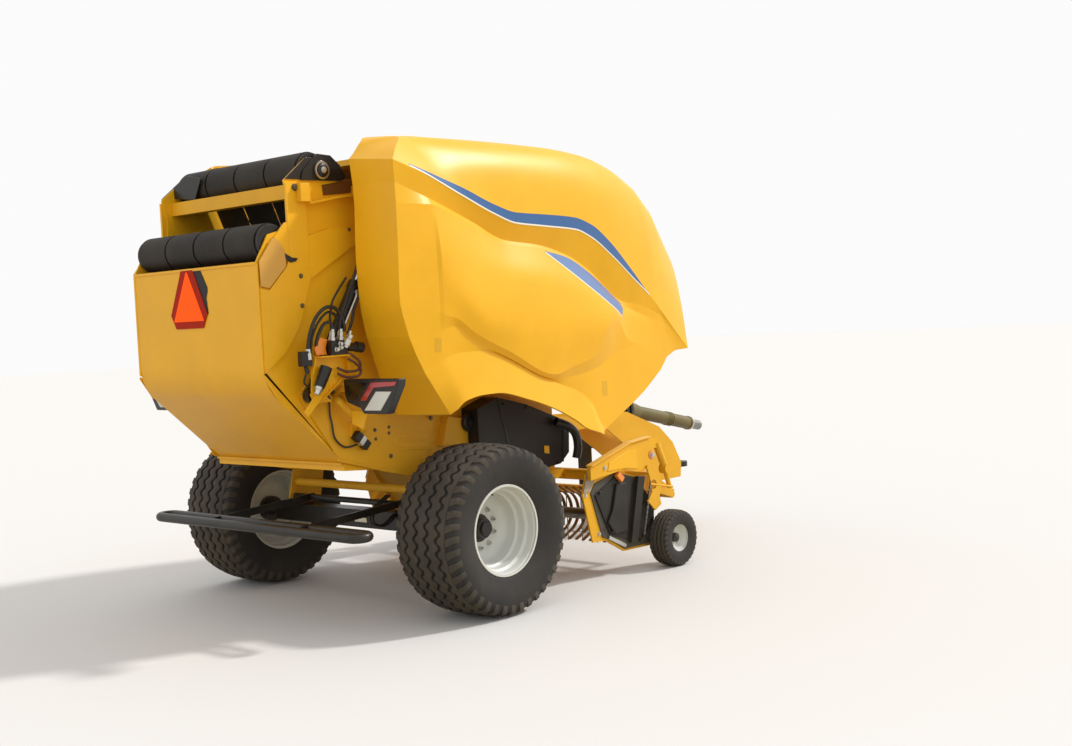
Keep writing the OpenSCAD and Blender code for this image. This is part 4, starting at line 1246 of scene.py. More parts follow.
@dataclass
class Tyre:
    """The sizes of a ribbed tyre.

    Attributes:
        across: Its outside diameter.
        width: Its width.
        bead: The rim's diameter.
        grooves: The grooves' places as shares of the width.
        deep: The grooves' depth.
        zigzag: How far the grooves swing to each side.
        waves: How many times they do so in one turn.
    """

    across: float
    width: float
    bead: float
    grooves: tuple[float, ...]
    deep: float
    zigzag: float
    waves: int

    def carcass(self) -> list[Point2]:
        """The carcass's profile.

        Returns:
            Distances along the axle and radii, from one bead over the crown to the other.
        """
        r, b, w = self.across / 2, self.bead / 2, self.width / 2
        low = r - self.deep
        wall = [(0.80, b), (0.84, b + 0.02 * r), (0.86, b + 0.05 * r), (0.91, b + 0.10 * r), (0.975, b + 0.19 * r),
                (1.0, 0.80 * r), (0.992, 0.87 * r), (0.965, 0.915 * r), (0.91, 0.945 * r), (0.82, low - 0.012 * r),
                (0.5, low - 0.003 * r), (0.2, low)]
        half = [(-share * w, radius) for share, radius in wall]
        return half + [(-y, radius) for y, radius in reversed(half)]

    def crown(self, y: float) -> float:
        """The tread's radius at a distance from the middle."""
        return self.across / 2 * (1 - 0.055 * (2 * y / self.width) ** 2 * abs(2 * y / self.width))

    def ribs(self, sketch: Sketch, centre: Point3) -> None:
        """Adds the ribs between the zigzag grooves.

        Args:
            sketch: The sketch that they go into.
            centre: The wheel's centre.
        """
        edge = 0.40
        borders = [-edge, *self.grooves, edge]
        steps = self.waves * 4
        for number, (a, b) in enumerate(zip(borders, borders[1:])):
            low, high = a * self.width + self.deep * 0.72, b * self.width - self.deep * 0.72
            rows = []
            for k in range(steps):
                swing = self.zigzag * (1, 1, -1, -1)[k % 4]
                left = low + (swing if number > 0 else 0)
                right = high + (swing if number < len(borders) - 2 else 0)
                section = [(left, self.across / 2 - self.deep * 1.6), (left + 1.5, self.crown(left) - 1.5),
                           (left + 4, self.crown(left)), ((left + right) / 2, self.crown((left + right) / 2)),
                           (right - 4, self.crown(right)), (right - 1.5, self.crown(right) - 1.5),
                           (right, self.across / 2 - self.deep * 1.6)]
                turn = math.tau * k / steps
                rows.append([at(centre[0] + r * math.sin(turn), centre[1] + y, centre[2] + r * math.cos(turn))
                             for y, r in section])
            sketch.grid(rows, closed=True)

    def lug(self, centre: Point3, sign: int, pitch: float) -> bpy.types.Mesh:
        """One shoulder lug.

        Args:
            centre: The wheel's centre.
            sign: The side of the tyre that it stands on.
            pitch: The angle from one lug to the next.

        Returns:
            The lug's mesh at the top of the wheel.
        """
        w, r = self.width / 2, self.across / 2
        foot = 0.76
        outline = [(foot * w, self.crown(foot * w)), (0.86 * w, self.crown(0.86 * w)), (0.945 * w, 0.955 * r),
                   (0.985 * w, 0.915 * r), (1.0 * w, 0.865 * r), (0.985 * w, 0.83 * r), (0.955 * w, 0.865 * r),
                   (0.92 * w, 0.915 * r), (0.86 * w, 0.935 * r), (foot * w, 0.945 * r)]
        sketch = Sketch()
        ends = []
        for side in (-1, 1):
            loop = []
            for y, radius in outline:
                reach = (y - foot * w) / ((1 - foot) * w)
                turn = pitch * (side * (0.31 - 0.06 * reach) + 0.3 * reach)
                loop.append(sketch.bm.verts.new(at(centre[0] + radius * math.sin(turn), centre[1] + sign * y,
                                                   centre[2] + radius * math.cos(turn))))
            ends.append(loop)
        count = len(outline)
        for k in range(count):
            n = (k + 1) % count
            sketch.bm.faces.new([ends[0][k], ends[0][n], ends[1][n], ends[1][k]])
        sketch.bm.faces.new(ends[0][::-1])
        sketch.bm.faces.new(ends[1])
        sketch.mend()
        bmesh.ops.bevel(sketch.bm, geom=sketch.bm.edges[:], offset=self.deep * 0.12 * MM, segments=1,
                        affect="EDGES", profile=0.5)
        return sketch.mesh("lug")


@dataclass
class Wheels(Assembly):
    """The main wheels and the gauge wheels.

    Attributes:
        track: Distance between the main tyres' middles.
        main: The main tyres.
        small: The gauge tyres.
        gauge_track: Distance between the gauge tyres' middles.
        gauge_place: A gauge wheel's centre as x and z.
        dish: A main rim's section, all round: distance outwards along the axle and radius.
        hub: A main hub's profile, in the same way.
        gauge_half: Half of a gauge rim's section.
        turned_sides: How many sides the tyres and the main rims have.
    """

    track: float = 2213.0
    main: Tyre = field(default_factory=lambda: Tyre(1058, 506, 566, (-0.27, -0.09, 0.09, 0.27), 16, 13, 40))
    small: Tyre = field(default_factory=lambda: Tyre(400, 150, 190, (-0.22, 0.0, 0.22), 7, 2.5, 30))
    gauge_track: float = 2470.0
    gauge_place: Point2 = (1790.0, 200.0)
    dish: Outline = (
        (208, 268), (209, 281), (204, 283), (199, 278), (196, 266), (190, 261), (176, 259), (146, 257), (138, 250),
        (132, 240), (84, 238), (76, 232), (70, 222), (30, 220), (10, 216), (-8, 205), (-20, 188), (-28, 165),
        (-30, 150), (-30, 88), (-42, 88), (-42, 150), (-40, 172), (-34, 196), (-22, 222), (-60, 234), (-130, 240),
        (-140, 252), (-150, 259), (-190, 262), (-198, 270), (-204, 283), (-209, 281), (-208, 276), (-200, 276),
        (-185, 268), (-150, 266), (0, 262), (140, 265), (180, 268), (194, 274), (202, 276))
    hub: Outline = ((-95, 50), (-95, 88), (-28, 88), (-22, 84), (-22, 66), (14, 64), (22, 60), (24, 44), (38, 42),
                    (42, 36), (43, 0))
    gauge_half: Outline = ((60, 95), (62, 104), (57, 105), (52, 97), (40, 92), (28, 84), (12, 74), (6, 60), (6, 34),
                           (26, 30), (30, 26), (30, 17))
    turned_sides: int = 96

    def tread(self, tyre: Tyre, centre: Point3, name: str, body: str, slot: str, node: str) -> None:
        """Builds a tyre: its carcass, then its ribs with the shoulder lugs.

        Args:
            tyre: The tyre's sizes.
            centre: The wheel's centre.
            name: The piece's name.
            body: The body that it rides on.
            slot: The record's material slot.
            node: The CAD node that the carcass stands for.
        """
        sketch = Sketch()
        profile = tyre.carcass()
        sketch.lathe(profile + profile[:1], centre, (0, 1, 0), self.turned_sides)
        self.place(sketch, name, body, Paint.tyre, sharp=38.0, replaces=[node], mend=True, slot=slot)
        sketch = Sketch()
        tyre.ribs(sketch, centre)
        sketch.mend()
        pitch = math.tau / tyre.waves
        for sign in both_sides():
            ring = Pattern(PatternKind.RING, tyre.waves, centre)
            sketch.bm.from_mesh(ring.spread(tyre.lug(centre, sign, pitch), Paint.tread))
        self.place(sketch, name + "_ribs", body, Paint.tread, sharp=38.0, slot=slot)

    def bolt_ring(self, shapes: Sequence[tuple[Sequence[Point2], int]], centre: Point3, sign: int, out: float,
                  radius: float, count: int, name: str, body: str) -> None:
        """Adds a ring of bolts or nuts that point away from the machine.

        Args:
            shapes: One bolt's turned profiles, each with its number of sides.
            centre: The wheel's centre.
            sign: 1 for the left wheel, -1 for the right one.
            out: How far out from the wheel's centre their feet lie.
            radius: The ring's radius.
            count: How many there are.
            name: The piece's name.
            body: The body that it rides on.
        """
        one = Sketch()
        foot = Vector(centre) + Vector((0, sign * out, radius))
        for profile, sides in shapes:
            one.lathe(profile, tuple(foot), (0, sign, 0), sides)
        one.mend()
        ring = Pattern(PatternKind.RING, count, centre).spread(one.mesh("bolt"), Paint.zinc)
        self.settle(ring, name, body, Paint.zinc, sharp=30.0)

    def main_rim(self, sign: int) -> None:
        """Builds a main rim with its hub, wheel bolts and valve.

        Args:
            sign: 1 for the left wheel, -1 for the right one.
        """
        side = side_word(sign)
        centre = (0.0, sign * self.track / 2, self.main.across / 2)
        axis = (0, sign, 0)
        body = "wheel_" + side
        rim = Sketch()
        rim.lathe(self.dish + self.dish[:1], centre, axis, self.turned_sides)
        self.place(rim, "rim_dish_" + side, body, Paint.rim, sharp=30.0, replaces=["rim_" + side], mend=True)
        hub = Sketch()
        hub.lathe(self.hub, centre, axis, 40)
        self.place(hub, "hub_" + side, body, Paint.black, bevel=1.5, mend=True)
        stud = [(0, 15), (12, 15), (12, 11), (20, 10.5), (30, 6), (31, 0)]
        washer = [(-1, 19), (3, 19), (3, 0)]
        self.bolt_ring([(stud, 6), (washer, 16)], centre, sign, -30, 128, 10, "wheel_bolts_" + side, body)
        valve = Sketch()
        valve.rod((0, centre[1] + sign * 60, centre[2] + 222), (0, centre[1] + sign * 105, centre[2] + 212), 5, 8)
        self.place(valve, "tyre_valve_" + side, body, Paint.hose, mend=True)

    def gauge_rim(self, sign: int) -> None:
        """Builds a gauge wheel's rim, cap and nuts.

        Args:
            sign: 1 for the left wheel, -1 for the right one.
        """
        side = side_word(sign)
        body = "gauge_" + side
        centre = (self.gauge_place[0], sign * self.gauge_track / 2, self.gauge_place[1])
        rim = Sketch()
        half = list(self.gauge_half)
        rim.lathe(half + [(-y, r) for y, r in reversed(half)] + half[:1], centre, (0, 1, 0), 48)
        self.place(rim, "gauge_rim_" + side, body, Paint.rim, mend=True)
        cap = Sketch()
        cap.lathe([(6, 34), (22, 33), (34, 28), (40, 18), (40, 0)], centre, (0, sign, 0), 24)
        self.place(cap, "gauge_cap_" + side, body, Paint.black, mend=True)
        nut = [(0, 9), (9, 9), (10, 6), (14, 5), (15, 0)]
        self.bolt_ring([(nut, 6)], centre, sign, 6, 48, 5, "gauge_nuts_" + side, body)

    def build(self) -> None:
        """Builds all four wheels."""
        for sign in both_sides():
            side = side_word(sign)
            self.tread(self.main, (0.0, sign * self.track / 2, self.main.across / 2), "tread_" + side,
                       "wheel_" + side, "tyre_rubber", "tyre_" + side)
            self.main_rim(sign)
            self.tread(self.small, (self.gauge_place[0], sign * self.gauge_track / 2, self.gauge_place[1]),
                       "gauge_tread_" + side, "gauge_" + side, "gauge_tyre", "gauge_wheel_" + side)
            self.gauge_rim(sign)


@dataclass
class Hydraulics(Assembly):
    """The tailgate's valve with its hoses on the right, and the cylinders' fittings on both sides.

    Attributes:
        foot: A cylinder's lower pin as x and z.
        head: Its upper pin.
        off: How far the cylinders lie from the middle.
        barrel: The barrel's length from the lower pin.
        thick_hoses: Each thick hose's points, radius and sides.
        pilot_hose: The upper pilot hose's points.
        cable: The switch cable's points.
    """

    foot: Point2 = (-965.0, 1430.0)
    head: Point2 = (-300.0, 2550.0)
    off: float = 718.0
    barrel: float = 760.0
    thick_hoses: tuple[tuple[Path, int, int], ...] = (
        (((-1026, -790, 1700), (-1012, -800, 1790), (-975, -815, 1880), (-905, -820, 1935), (-830, -815, 1930),
          (-780, -810, 1880), (-766, -812, 1820), (-774, -816, 1795)), 11, 14),
        (((-968, -786, 1668), (-962, -800, 1760), (-925, -815, 1835), (-880, -820, 1850), (-862, -818, 1825),
          (-862, -816, 1800)), 10, 14),
        (((-806, -816, 1800), (-790, -812, 1870), (-740, -800, 1950), (-690, -790, 2040), (-640, -786, 2130),
          (-600, -776, 2200), (-560, -764, 2270)), 9, 14),
        (((-745, -812, 1772), (-700, -806, 1850), (-665, -796, 1930), (-615, -790, 2010), (-560, -776, 2100)), 9, 14),
        (((-1000, -780, 1690), (-990, -790, 1770), (-950, -800, 1850), (-890, -806, 1905), (-835, -802, 1900),
          (-800, -796, 1860), (-790, -800, 1800)), 8, 12),
        (((-868, -816, 1800), (-862, -806, 1890), (-830, -796, 1970), (-770, -786, 2040), (-700, -776, 2110)), 7, 12))
    pilot_hose: Path = ((-775, -840, 1665), (-735, -852, 1640), (-690, -850, 1600), (-700, -838, 1560),
                        (-770, -820, 1556), (-830, -806, 1580))
    cable: Path = (
        (-1040, -778, 1562), (-1050, -770, 1510), (-1010, -764, 1480), (-950, -764, 1485), (-905, -766, 1440),
        (-860, -764, 1400), (-815, -690, 1380), (-800, -676, 1366), (-796, -672, 1300), (-785, -672, 1245),
        (-770, -672, 1160), (-715, -672, 1105), (-665, -676, 1095), (-615, -690, 1105))

    def cylinder(self, sign: int) -> None:
        """Adds a cylinder's weld rings, gland, port and pipe.

        Args:
            sign: 1 for the left cylinder, -1 for the right one.
        """
        side = side_word(sign)
        foot = Vector((self.foot[0], sign * self.off, self.foot[1]))
        along = (Vector((self.head[0], sign * self.off, self.head[1])) - foot).normalized()
        rings = Sketch()
        rings.lathe([(78, 38), (80, 43), (92, 43), (96, 40.4)], tuple(foot), tuple(along), 32)
        rings.lathe([(self.barrel - 52, 40.4), (self.barrel - 48, 45), (self.barrel - 8, 45), (self.barrel - 3, 42),
                     (self.barrel - 3, 22)], tuple(foot), tuple(along), 32)
        self.place(rings, "cylinder_rings_" + side, "cylinder_" + side, Paint.black, mend=True)
        port = Sketch()
        out = Vector((0, sign, 0))
        for reach in (130, self.barrel - 70):
            place = foot + along * reach + out * 36
            port.lathe([(0, 15), (14, 15), (16, 12), (30, 12), (31, 0)], tuple(place), tuple(out), 6)
        high = foot + along * (self.barrel - 70) + out * 58
        low = foot + along * 190 + out * 52
        port.pipe([high - out * 8, high - along * 40, low + along * 40, low], 7, 10)
        self.place(port, "cylinder_pipe_" + side, "cylinder_" + side, Paint.zinc, mend=True)

    def carrier(self) -> None:
        """Adds the folded bracket that carries the valve, and its foot."""
        sketch = Sketch()
        sketch.plate([(-1010, 1452), (-940, 1400), (-905, 1420), (-742, 1545), (-742, 1640), (-905, 1655),
                      (-975, 1660), (-1000, 1560)], -775, 8)
        sketch.block((-975, -850, 1648), (-742, -771, 1656))
        sketch.beam((-742, -812, 1598), (-742, -780, 1598), 8, 100)
        sketch.beam((-1004, -786, 1556), (-978, -786, 1650), 30, 6)
        sketch.beam((-940, -788, 1406), (-744, -788, 1550), 34, 6)
        self.place(sketch, "valve_carrier", "frame", Paint.yellow, bevel=2.5)
        tip = Sketch()
        tip.plate([(-1066, 1340), (-1040, 1310), (-945, 1400), (-975, 1440)], -775, 10)
        self.place(tip, "valve_carrier_foot", "frame", Paint.yellow, bevel=2.5)

    def valve(self) -> None:
        """Adds the valve's block, spools, plugs, accumulator and lever."""
        dark, bright = Sketch(), Sketch()
        dark.block((-893, -845, 1660), (-776, -786, 1742))
        dark.rod((-760, -815, 1700), (-655, -815, 1692), 26, 20)
        dark.rod((-690, -815, 1698), (-640, -815, 1690), 32, 20)
        dark.block((-1078, -802, 1604), (-1006, -758, 1690))
        dark.rod((-1042, -780, 1604), (-1030, -780, 1560), 13, 12)
        for x, z in ((-868, 1742), (-806, 1742)):
            bright.lathe([(0, 22), (18, 22), (20, 17), (48, 17), (50, 14), (66, 14)], (x, -816, z), (0.12, 0, 1), 6)
        bright.lathe([(0, 18), (12, 18), (14, 22), (52, 22), (58, 16), (80, 16)], (-800, -850, 1700),
                     (0.5, -0.3, 1), 20)
        bright.lathe([(0, 19), (36, 19), (40, 15), (62, 14)], (-1022, -790, 1640), (-0.05, 0, 1), 6)
        bright.lathe([(0, 14), (30, 14), (34, 11), (56, 11)], (-774, -845, 1742), (0.5, 0, 1), 6)
        self.place(dark, "valve_body", "frame", Paint.black, bevel=3.0, mend=True, replaces=["valve_block"])
        for x, y, z in ((-838, -846, 1700), (-838, -846, 1722), (-868, -846, 1690)):
            bright.lathe([(0, 15), (10, 15), (12, 11), (26, 11), (27, 0)], (x, y, z), (0, -1, 0), 6)
        self.place(bright, "valve_fittings", "frame", Paint.zinc, mend=True)
        boot = Sketch()
        boot.pipe([Vector((-925, -822, 1590)), Vector((-955, -822, 1530)), Vector((-985, -822, 1478))], 33, 20,
                  widths=[36, 33, 30])
        self.place(boot, "accumulator", "frame", Paint.hose, sharp=50)
        tip = Sketch()
        tip.lathe([(0, 27), (16, 27), (20, 20), (44, 18), (48, 10), (49, 0)], (-985, -822, 1478),
                  (-0.5, 0, -0.87), 20)
        self.place(tip, "accumulator_tip", "frame", Paint.zinc, mend=True)
        handle = Sketch()
        handle.plate([(-973, 1662), (-985, 1700), (-940, 1765), (-885, 1752), (-905, 1700), (-895, 1662)], -790, 26)
        self.place(handle, "valve_lever", "frame", Paint.orange, bevel=5.0)

    def hoses(self) -> None:
        """Lays the valve's hoses, its cable and the switch."""
        thick, thin, cable = Sketch(), Sketch(), Sketch()
        for path, radius, sides in self.thick_hoses:
            thick.pipe(smooth_path(path), radius, sides)
        for lift in (0, 34):
            thin.pipe(smooth_path([(x, y, z - lift) for x, y, z in self.pilot_hose]), 8, 12)
        cable.pipe(smooth_path(self.cable), 6, 10)
        self.place(thick, "tailgate_hoses", "frame", Paint.hose, sharp=60)
        self.place(thin, "pilot_hoses", "frame", Paint.faded_hose, sharp=60)
        self.place(cable, "switch_cable", "frame", Paint.hose, sharp=60)
        for name, finish, slot, low, high, grow in (("gate_switch", Paint.black, "black_plastic", -62, 62, 0),
                                                    ("gate_switch_band", Paint.zinc, "", -16, 18, 2.5)):
            switch = Sketch()
            ends = [(-582 + reach * 0.72, -690, 1126 - reach * 0.68) for reach in (low, high)]
            switch.beam(*ends, 46 + grow, 56 + grow, (0, 0, 1))
            self.place(switch, name, "frame", finish, bevel=3.0, slot=slot)

    def build(self) -> None:
        """Builds the hydraulic fittings."""
        for sign in both_sides():
            self.cylinder(sign)
        self.carrier()
        self.valve()
        self.hoses()


@dataclass
class Lamps(Assembly):
    """The tail lamps with their lenses and brackets.

    Attributes:
        face: The x of the lamps' rear face.
        red: The red lens's outline as y and z, seen from behind.
        clear: The clear lens's outline.
        dark: The dark corner's outline.
    """

    face: float = -800.0
    red: Outline = ((962, 1387), (1065, 1493), (1282, 1496), (1268, 1473), (1086, 1462), (1012, 1387))
    clear: Outline = ((994, 1330), (1134, 1331), (1234, 1440), (1102, 1440))
    dark: Outline = ((842, 1490), (1040, 1490), (940, 1385), (862, 1395))

    def slab(self, sketch: Sketch, outline: Sequence[Point2], sign: int, x: float, thick: float) -> None:
        """Adds a plate that faces backwards.

        Args:
            sketch: The sketch that gets it.
            outline: Its outline as y and z.
            sign: 1 for the left side, -1 for the right one.
            x: Where it starts.
            thick: How far it reaches backwards.
        """
        sketch.solid([at(x, sign * y, z) for y, z in outline], Vector((-thick * MM, 0, 0)))

    def build(self) -> None:
        """Builds both lamps."""
        self.dress("tail_lamps", Paint.lamp_body, bevel=7.0)
        for sign in both_sides():
            side = side_word(sign)
            for name, outline, finish, proud in (("red_lens_", self.red, Paint.red_lens, 5),
                                                 ("clear_lens_", self.clear, Paint.clear_lens, 4),
                                                 ("dark_lens_", self.dark, Paint.dark_lens, 3)):
                lens = Sketch()
                self.slab(lens, outline, sign, self.face + 2, proud + 2)
                self.place(lens, name + side, "frame", finish, bevel=1.8, mend=True)
            tube = Sketch()
            path = rounded_path([(-690, sign * 668, 1452), (-770, sign * 690, 1400), (-776, sign * 744, 1382),
                                 (-600, sign * 744, 1206), (-575, sign * 690, 1185)], 40)
            tube.pipe(path, 23, 18)
            self.place(tube, "lamp_tube_" + side, "frame", Paint.frame_yellow, sharp=45)
            plates = Sketch()
            plates.plate([(-820, 1388), (-800, 1480), (-660, 1490), (-672, 1400), (-742, 1345)], sign * 664, 12)
            plates.plate([(-640, 1150), (-640, 1240), (-560, 1240), (-520, 1170), (-560, 1130)], sign * 664, 12)
            self.slab(plates, [(812, 1325), (812, 1245), (905, 1215), (960, 1318)], sign, -742, 6)
            self.place(plates, "lamp_plates_" + side, "frame", Paint.yellow, bevel=2.0, mend=True)


@dataclass
class TailgateTrim(Assembly):
    """The tailgate's warning triangle, corner facets, bolts, roller ends and lips.

    Attributes:
        panel: The rear panel's x.
    """

    panel: float = -1240.0

    def triangle(self) -> None:
        """Builds the warning triangle, with a black plate beside its right edge."""
        def layer(outline: Sequence[Point2], start: float, thick: float) -> Sketch:
            """Draws one layer of the sign.

            Args:
                outline: Its outline as y to the right and z, from the middle of the sign's foot.
                start: How far behind the panel it starts.
                thick: Its thickness.

            Returns:
                The sketch of it.
            """
            sketch = Sketch()
            sketch.solid([at(self.panel - start, 45 - y, 1888 + z) for y, z in outline], Vector((-thick * MM, 0, 0)))
            return sketch

        border = [(-199, 50), (-150, -34), (134, -34), (183, 50), (55, 317), (-69, 317)]
        centre = [(-166, 14), (-163, 9), (143, 9), (146, 14), (-4, 307), (-14, 307)]
        self.place(layer(border, 2, 4.5), "triangle_border", "tailgate", Paint.signal_red, 0.8, mend=True,
                   replaces=["warning_triangle"])
        self.place(layer(centre, 6, 1.6), "triangle_centre", "tailgate", Paint.signal_orange, 0.5, mend=True)
        # A black plate drawn to the outline of a dark patch beside the sign.
        edge = Sketch()
        edge.solid([at(self.panel, y, z) for y, z in ((10, 2203), (-84, 2203), (-148, 2096), (-150, 2074),
                                                      (-133, 2030), (-146, 1938), (-60, 1900))],
                   Vector((-3 * MM, 0, 0)))
        self.place(edge, "triangle_black_plate", "tailgate", Paint.plastic, 0.8, mend=True)

    def sides(self, sign: int) -> None:
        """Adds a side's corner facet in a duller yellow of painted shade, a brown plate of painted shade in the
        recess, bolts, roller end, edge strip and latch pad.

        Args:
            sign: 1 for the left side, -1 for the right one.
        """
        side = side_word(sign)
        # The facet is a flat plate; its duller yellow is painted shade for the bend it lacks.
        facet = Sketch()
        facet.plate([(-1234, 2215), (-1132, 2350), (-1098, 2344), (-1040, 2264), (-1048, 2182), (-1171, 2062),
                     (-1232, 2074)], sign * 659, 3)
        self.place(facet, "corner_facet_" + side, "tailgate", Paint.facet_shade_yellow, bevel=1.2)
        # A plate painted brown to stand in for the shade in the recess.
        recess = Sketch()
        recess.plate([(-735, 2668), (-507, 2708), (-513, 2628), (-727, 2606)], sign * 643, 6)
        self.place(recess, "side_recess_shade_" + side, "tailgate", Paint.recess, bevel=2.0)
        bolts = Sketch()
        bolts.side_bolts(((-951, 2645, 30), (-942, 2129, 20), (-944, 1955, 20)), sign, 658)
        bolts.side_bolts(((-560, 2404, 16),), sign, 662)
        self.place(bolts, "side_bolts_" + side, "tailgate", Paint.weathered, mend=True)
        guard = Sketch()
        guard.plate([(-1008, 2694), (-848, 2825), (-738, 2825), (-686, 2793), (-634, 2702), (-860, 2694)],
                    sign * 644, 8)
        self.place(guard, "roller_guard_" + side, "tailgate", Paint.black, bevel=1.5)
        bearing = Sketch()
        bearing.lathe([(0, 58), (16, 58), (18, 54), (18, 40), (30, 38), (34, 30), (34, 0)], (-745, sign * 648, 2752),
                      (0, sign, 0), 32)
        self.place(bearing, "roller_bearing_" + side, "tailgate", Paint.black, mend=True)
        ring = Sketch()
        ring.lathe([(18, 54), (24, 53), (24, 43), (18, 42)], (-745, sign * 648, 2752), (0, sign, 0), 32)
        ring.bolt((-745, sign * 682, 2752), (0, sign, 0), 26)
        self.place(ring, "roller_ring_" + side, "tailgate", Paint.zinc, mend=True)
        strip = Sketch()
        strip.block((-1243, sign * 640 - 9, 1570), (-1234, sign * 640 + 9, 2205))
        strip.beam((-1238, sign * 651, 1560), (-1146, sign * 651, 1420), 8, 16)
        self.place(strip, "corner_strip_" + side, "tailgate", Paint.yellow, bevel=2.5, mend=True)
        pads = Sketch()
        pads.plate([(-1052, 2262), (-1000, 2236), (-958, 2232), (-972, 2214), (-1010, 2206), (-1046, 2226)],
                   sign * 660, 5)
        self.place(pads, "latch_pad_" + side, "tailgate", Paint.black, bevel=1.0)

    def panel_edges(self) -> None:
        """Adds the lips along the rear panel's top and foot, the roller's cheek and the wires between the belts."""
        lips = Sketch()
        lips.block((-1246, -634, 2196), (-1226, 634, 2214))
        self.place(lips, "panel_lip", "tailgate", Paint.yellow, bevel=5.0)
        foot = Sketch()
        foot.block((-706, -640, 984), (-696, 640, 1000))
        self.place(foot, "foot_lip", "tailgate", Paint.frame_yellow, bevel=1.5, mend=True)
        cheek = Sketch()
        cheek.solid([at(-912, y, z) for y, z in ((632, 2700), (630, 2768), (470, 2832), (320, 2802), (400, 2672))],
                    Vector((-8 * MM, 0, 0)))
        self.place(cheek, "roller_cheek", "tailgate", Paint.black, bevel=2.0, mend=True)
        lines = Sketch()
        for (xa, za), (xb, zb) in (((-676, 2634), (-565, 2513)), ((-381, 2586), (-342, 2531))):
            lines.beam((xa, 300, za), (xb, 300, zb), 5, 5)
            lines.beam((xa, -300, za), (xb, -300, zb), 5, 5)
        self.place(lines, "belt_guide_wires", "tailgate", Paint.zinc)

    def build(self) -> None:
        """Builds the tailgate's trim."""
        self.triangle()
        self.panel_edges()
        for sign in both_sides():
            self.sides(sign)


@dataclass
class FrameTrim(Assembly):
    """Bolts, beads, covers and tubes on the frame round the wheels.

    Attributes:
        wing: How far the frame's wings lie from the middle.
        cover: How far the feeder covers' faces lie from the middle.
    """

    wing: float = 658.0
    cover: float = 790.0

    def side(self, sign: int) -> None:
        """Adds one side's trim.

        Args:
            sign: 1 for the left side, -1 for the right one.
        """
        word = side_word(sign)
        bolts = Sketch()
        bolts.side_bolts(((35, 1205, 22), (-326, 1182, 15), (-329, 1145, 15), (-442, 1175, 17), (-438, 1119, 15),
                          (-323, 1001, 20)), sign, self.wing)
        bolts.side_bolts(((-771, 1440, 26),), sign, self.wing + 12)
        self.place(bolts, "frame_bolts_" + word, "frame", Paint.weathered, mend=True)
        beads = Sketch()
        for z, x0, x1 in ((1092, -250, 60), (1040, -262, 40)):
            beads.beam((x0, sign * (self.wing + 3), z), (x1, sign * (self.wing + 3), z - 26), 8, 20)
        beads.beam((-745, sign * (self.wing + 4), 1024), (-344, sign * (self.wing + 4), 908), 10, 16)
        self.place(beads, "frame_beads_" + word, "frame", Paint.frame_yellow, bevel=4.0)

    def feeder(self, sign: int) -> None:
        """Adds the feeder cover's seams, plate, chain wheel, pipe and link.

        Args:
            sign: 1 for the left side, -1 for the right one.
        """
        word = side_word(sign)
        y = self.cover
        seams = Sketch()
        seams.beam((522, sign * y, 1290), (640, sign * y, 852), 7, 12)
        seams.beam((1180, sign * y, 1085), (1150, sign * y, 800), 7, 12)
        seams.side_bolts([(x, z, 18) for x, z in ((580, 1250), (800, 1205), (1120, 1080), (680, 850), (1100, 800))],
                         sign, y)
        self.place(seams, "cover_seams_" + word, "frame", Paint.black, bevel=1.5, mend=True)
        plate = Sketch()
        plate.plate([(960, 880), (1010, 872), (1010, 925), (960, 932)], sign * (y + 1), 2)
        self.place(plate, "cover_plate_" + word, "frame", Paint.yellow, bevel=0.5)
        disc = Sketch()
        disc.lathe([(0, 62), (24, 62), (28, 56), (28, 30), (44, 28), (46, 0)], (326, sign * 700, 1150),
                   (0, sign, 0), 32)
        self.place(disc, "chain_wheel_" + word, "frame", Paint.black, mend=True)
        tube = Sketch()
        tube.pipe(smooth_path([(1060, sign * 820, 1090), (1150, sign * 850, 1050), (1215, sign * 860, 990),
                               (1235, sign * 860, 900), (1225, sign * 850, 820)]), 30, 18)
        self.place(tube, "feeder_pipe_" + word, "frame", Paint.black, sharp=50)
        bright = Sketch()
        bright.beam((420, sign * 730, 1130), (520, sign * 730, 1090), 10, 26)
        bright.rod((405, sign * 712, 1138), (405, sign * 745, 1138), 24, 16)
        self.place(bright, "feeder_link_" + word, "frame", Paint.zinc, bevel=2.0)

    def under(self) -> None:
        """Adds the blank plate and the hoses on the axle beam."""
        plate = Sketch()
        plate.block((-64, -85, 506), (-60, 35, 536))
        self.place(plate, "axle_plate", "frame", Paint.white, bevel=1.0, mend=True,
                   slot="bare_steel")
        hoses = Sketch()
        for shift in (0, 26):
            hoses.pipe(smooth_path([(-60, -300 - shift, 700), (-180, -310 - shift, 640), (-240, -330 - shift, 560),
                                    (-160, -350 - shift, 520), (-40, -360 - shift, 590)]), 9, 12)
        self.place(hoses, "axle_hoses", "frame", Paint.hose, sharp=60)

    def build(self) -> None:
        """Builds the frame's trim."""
        for sign in both_sides():
            self.side(sign)
            self.feeder(sign)
        self.under()


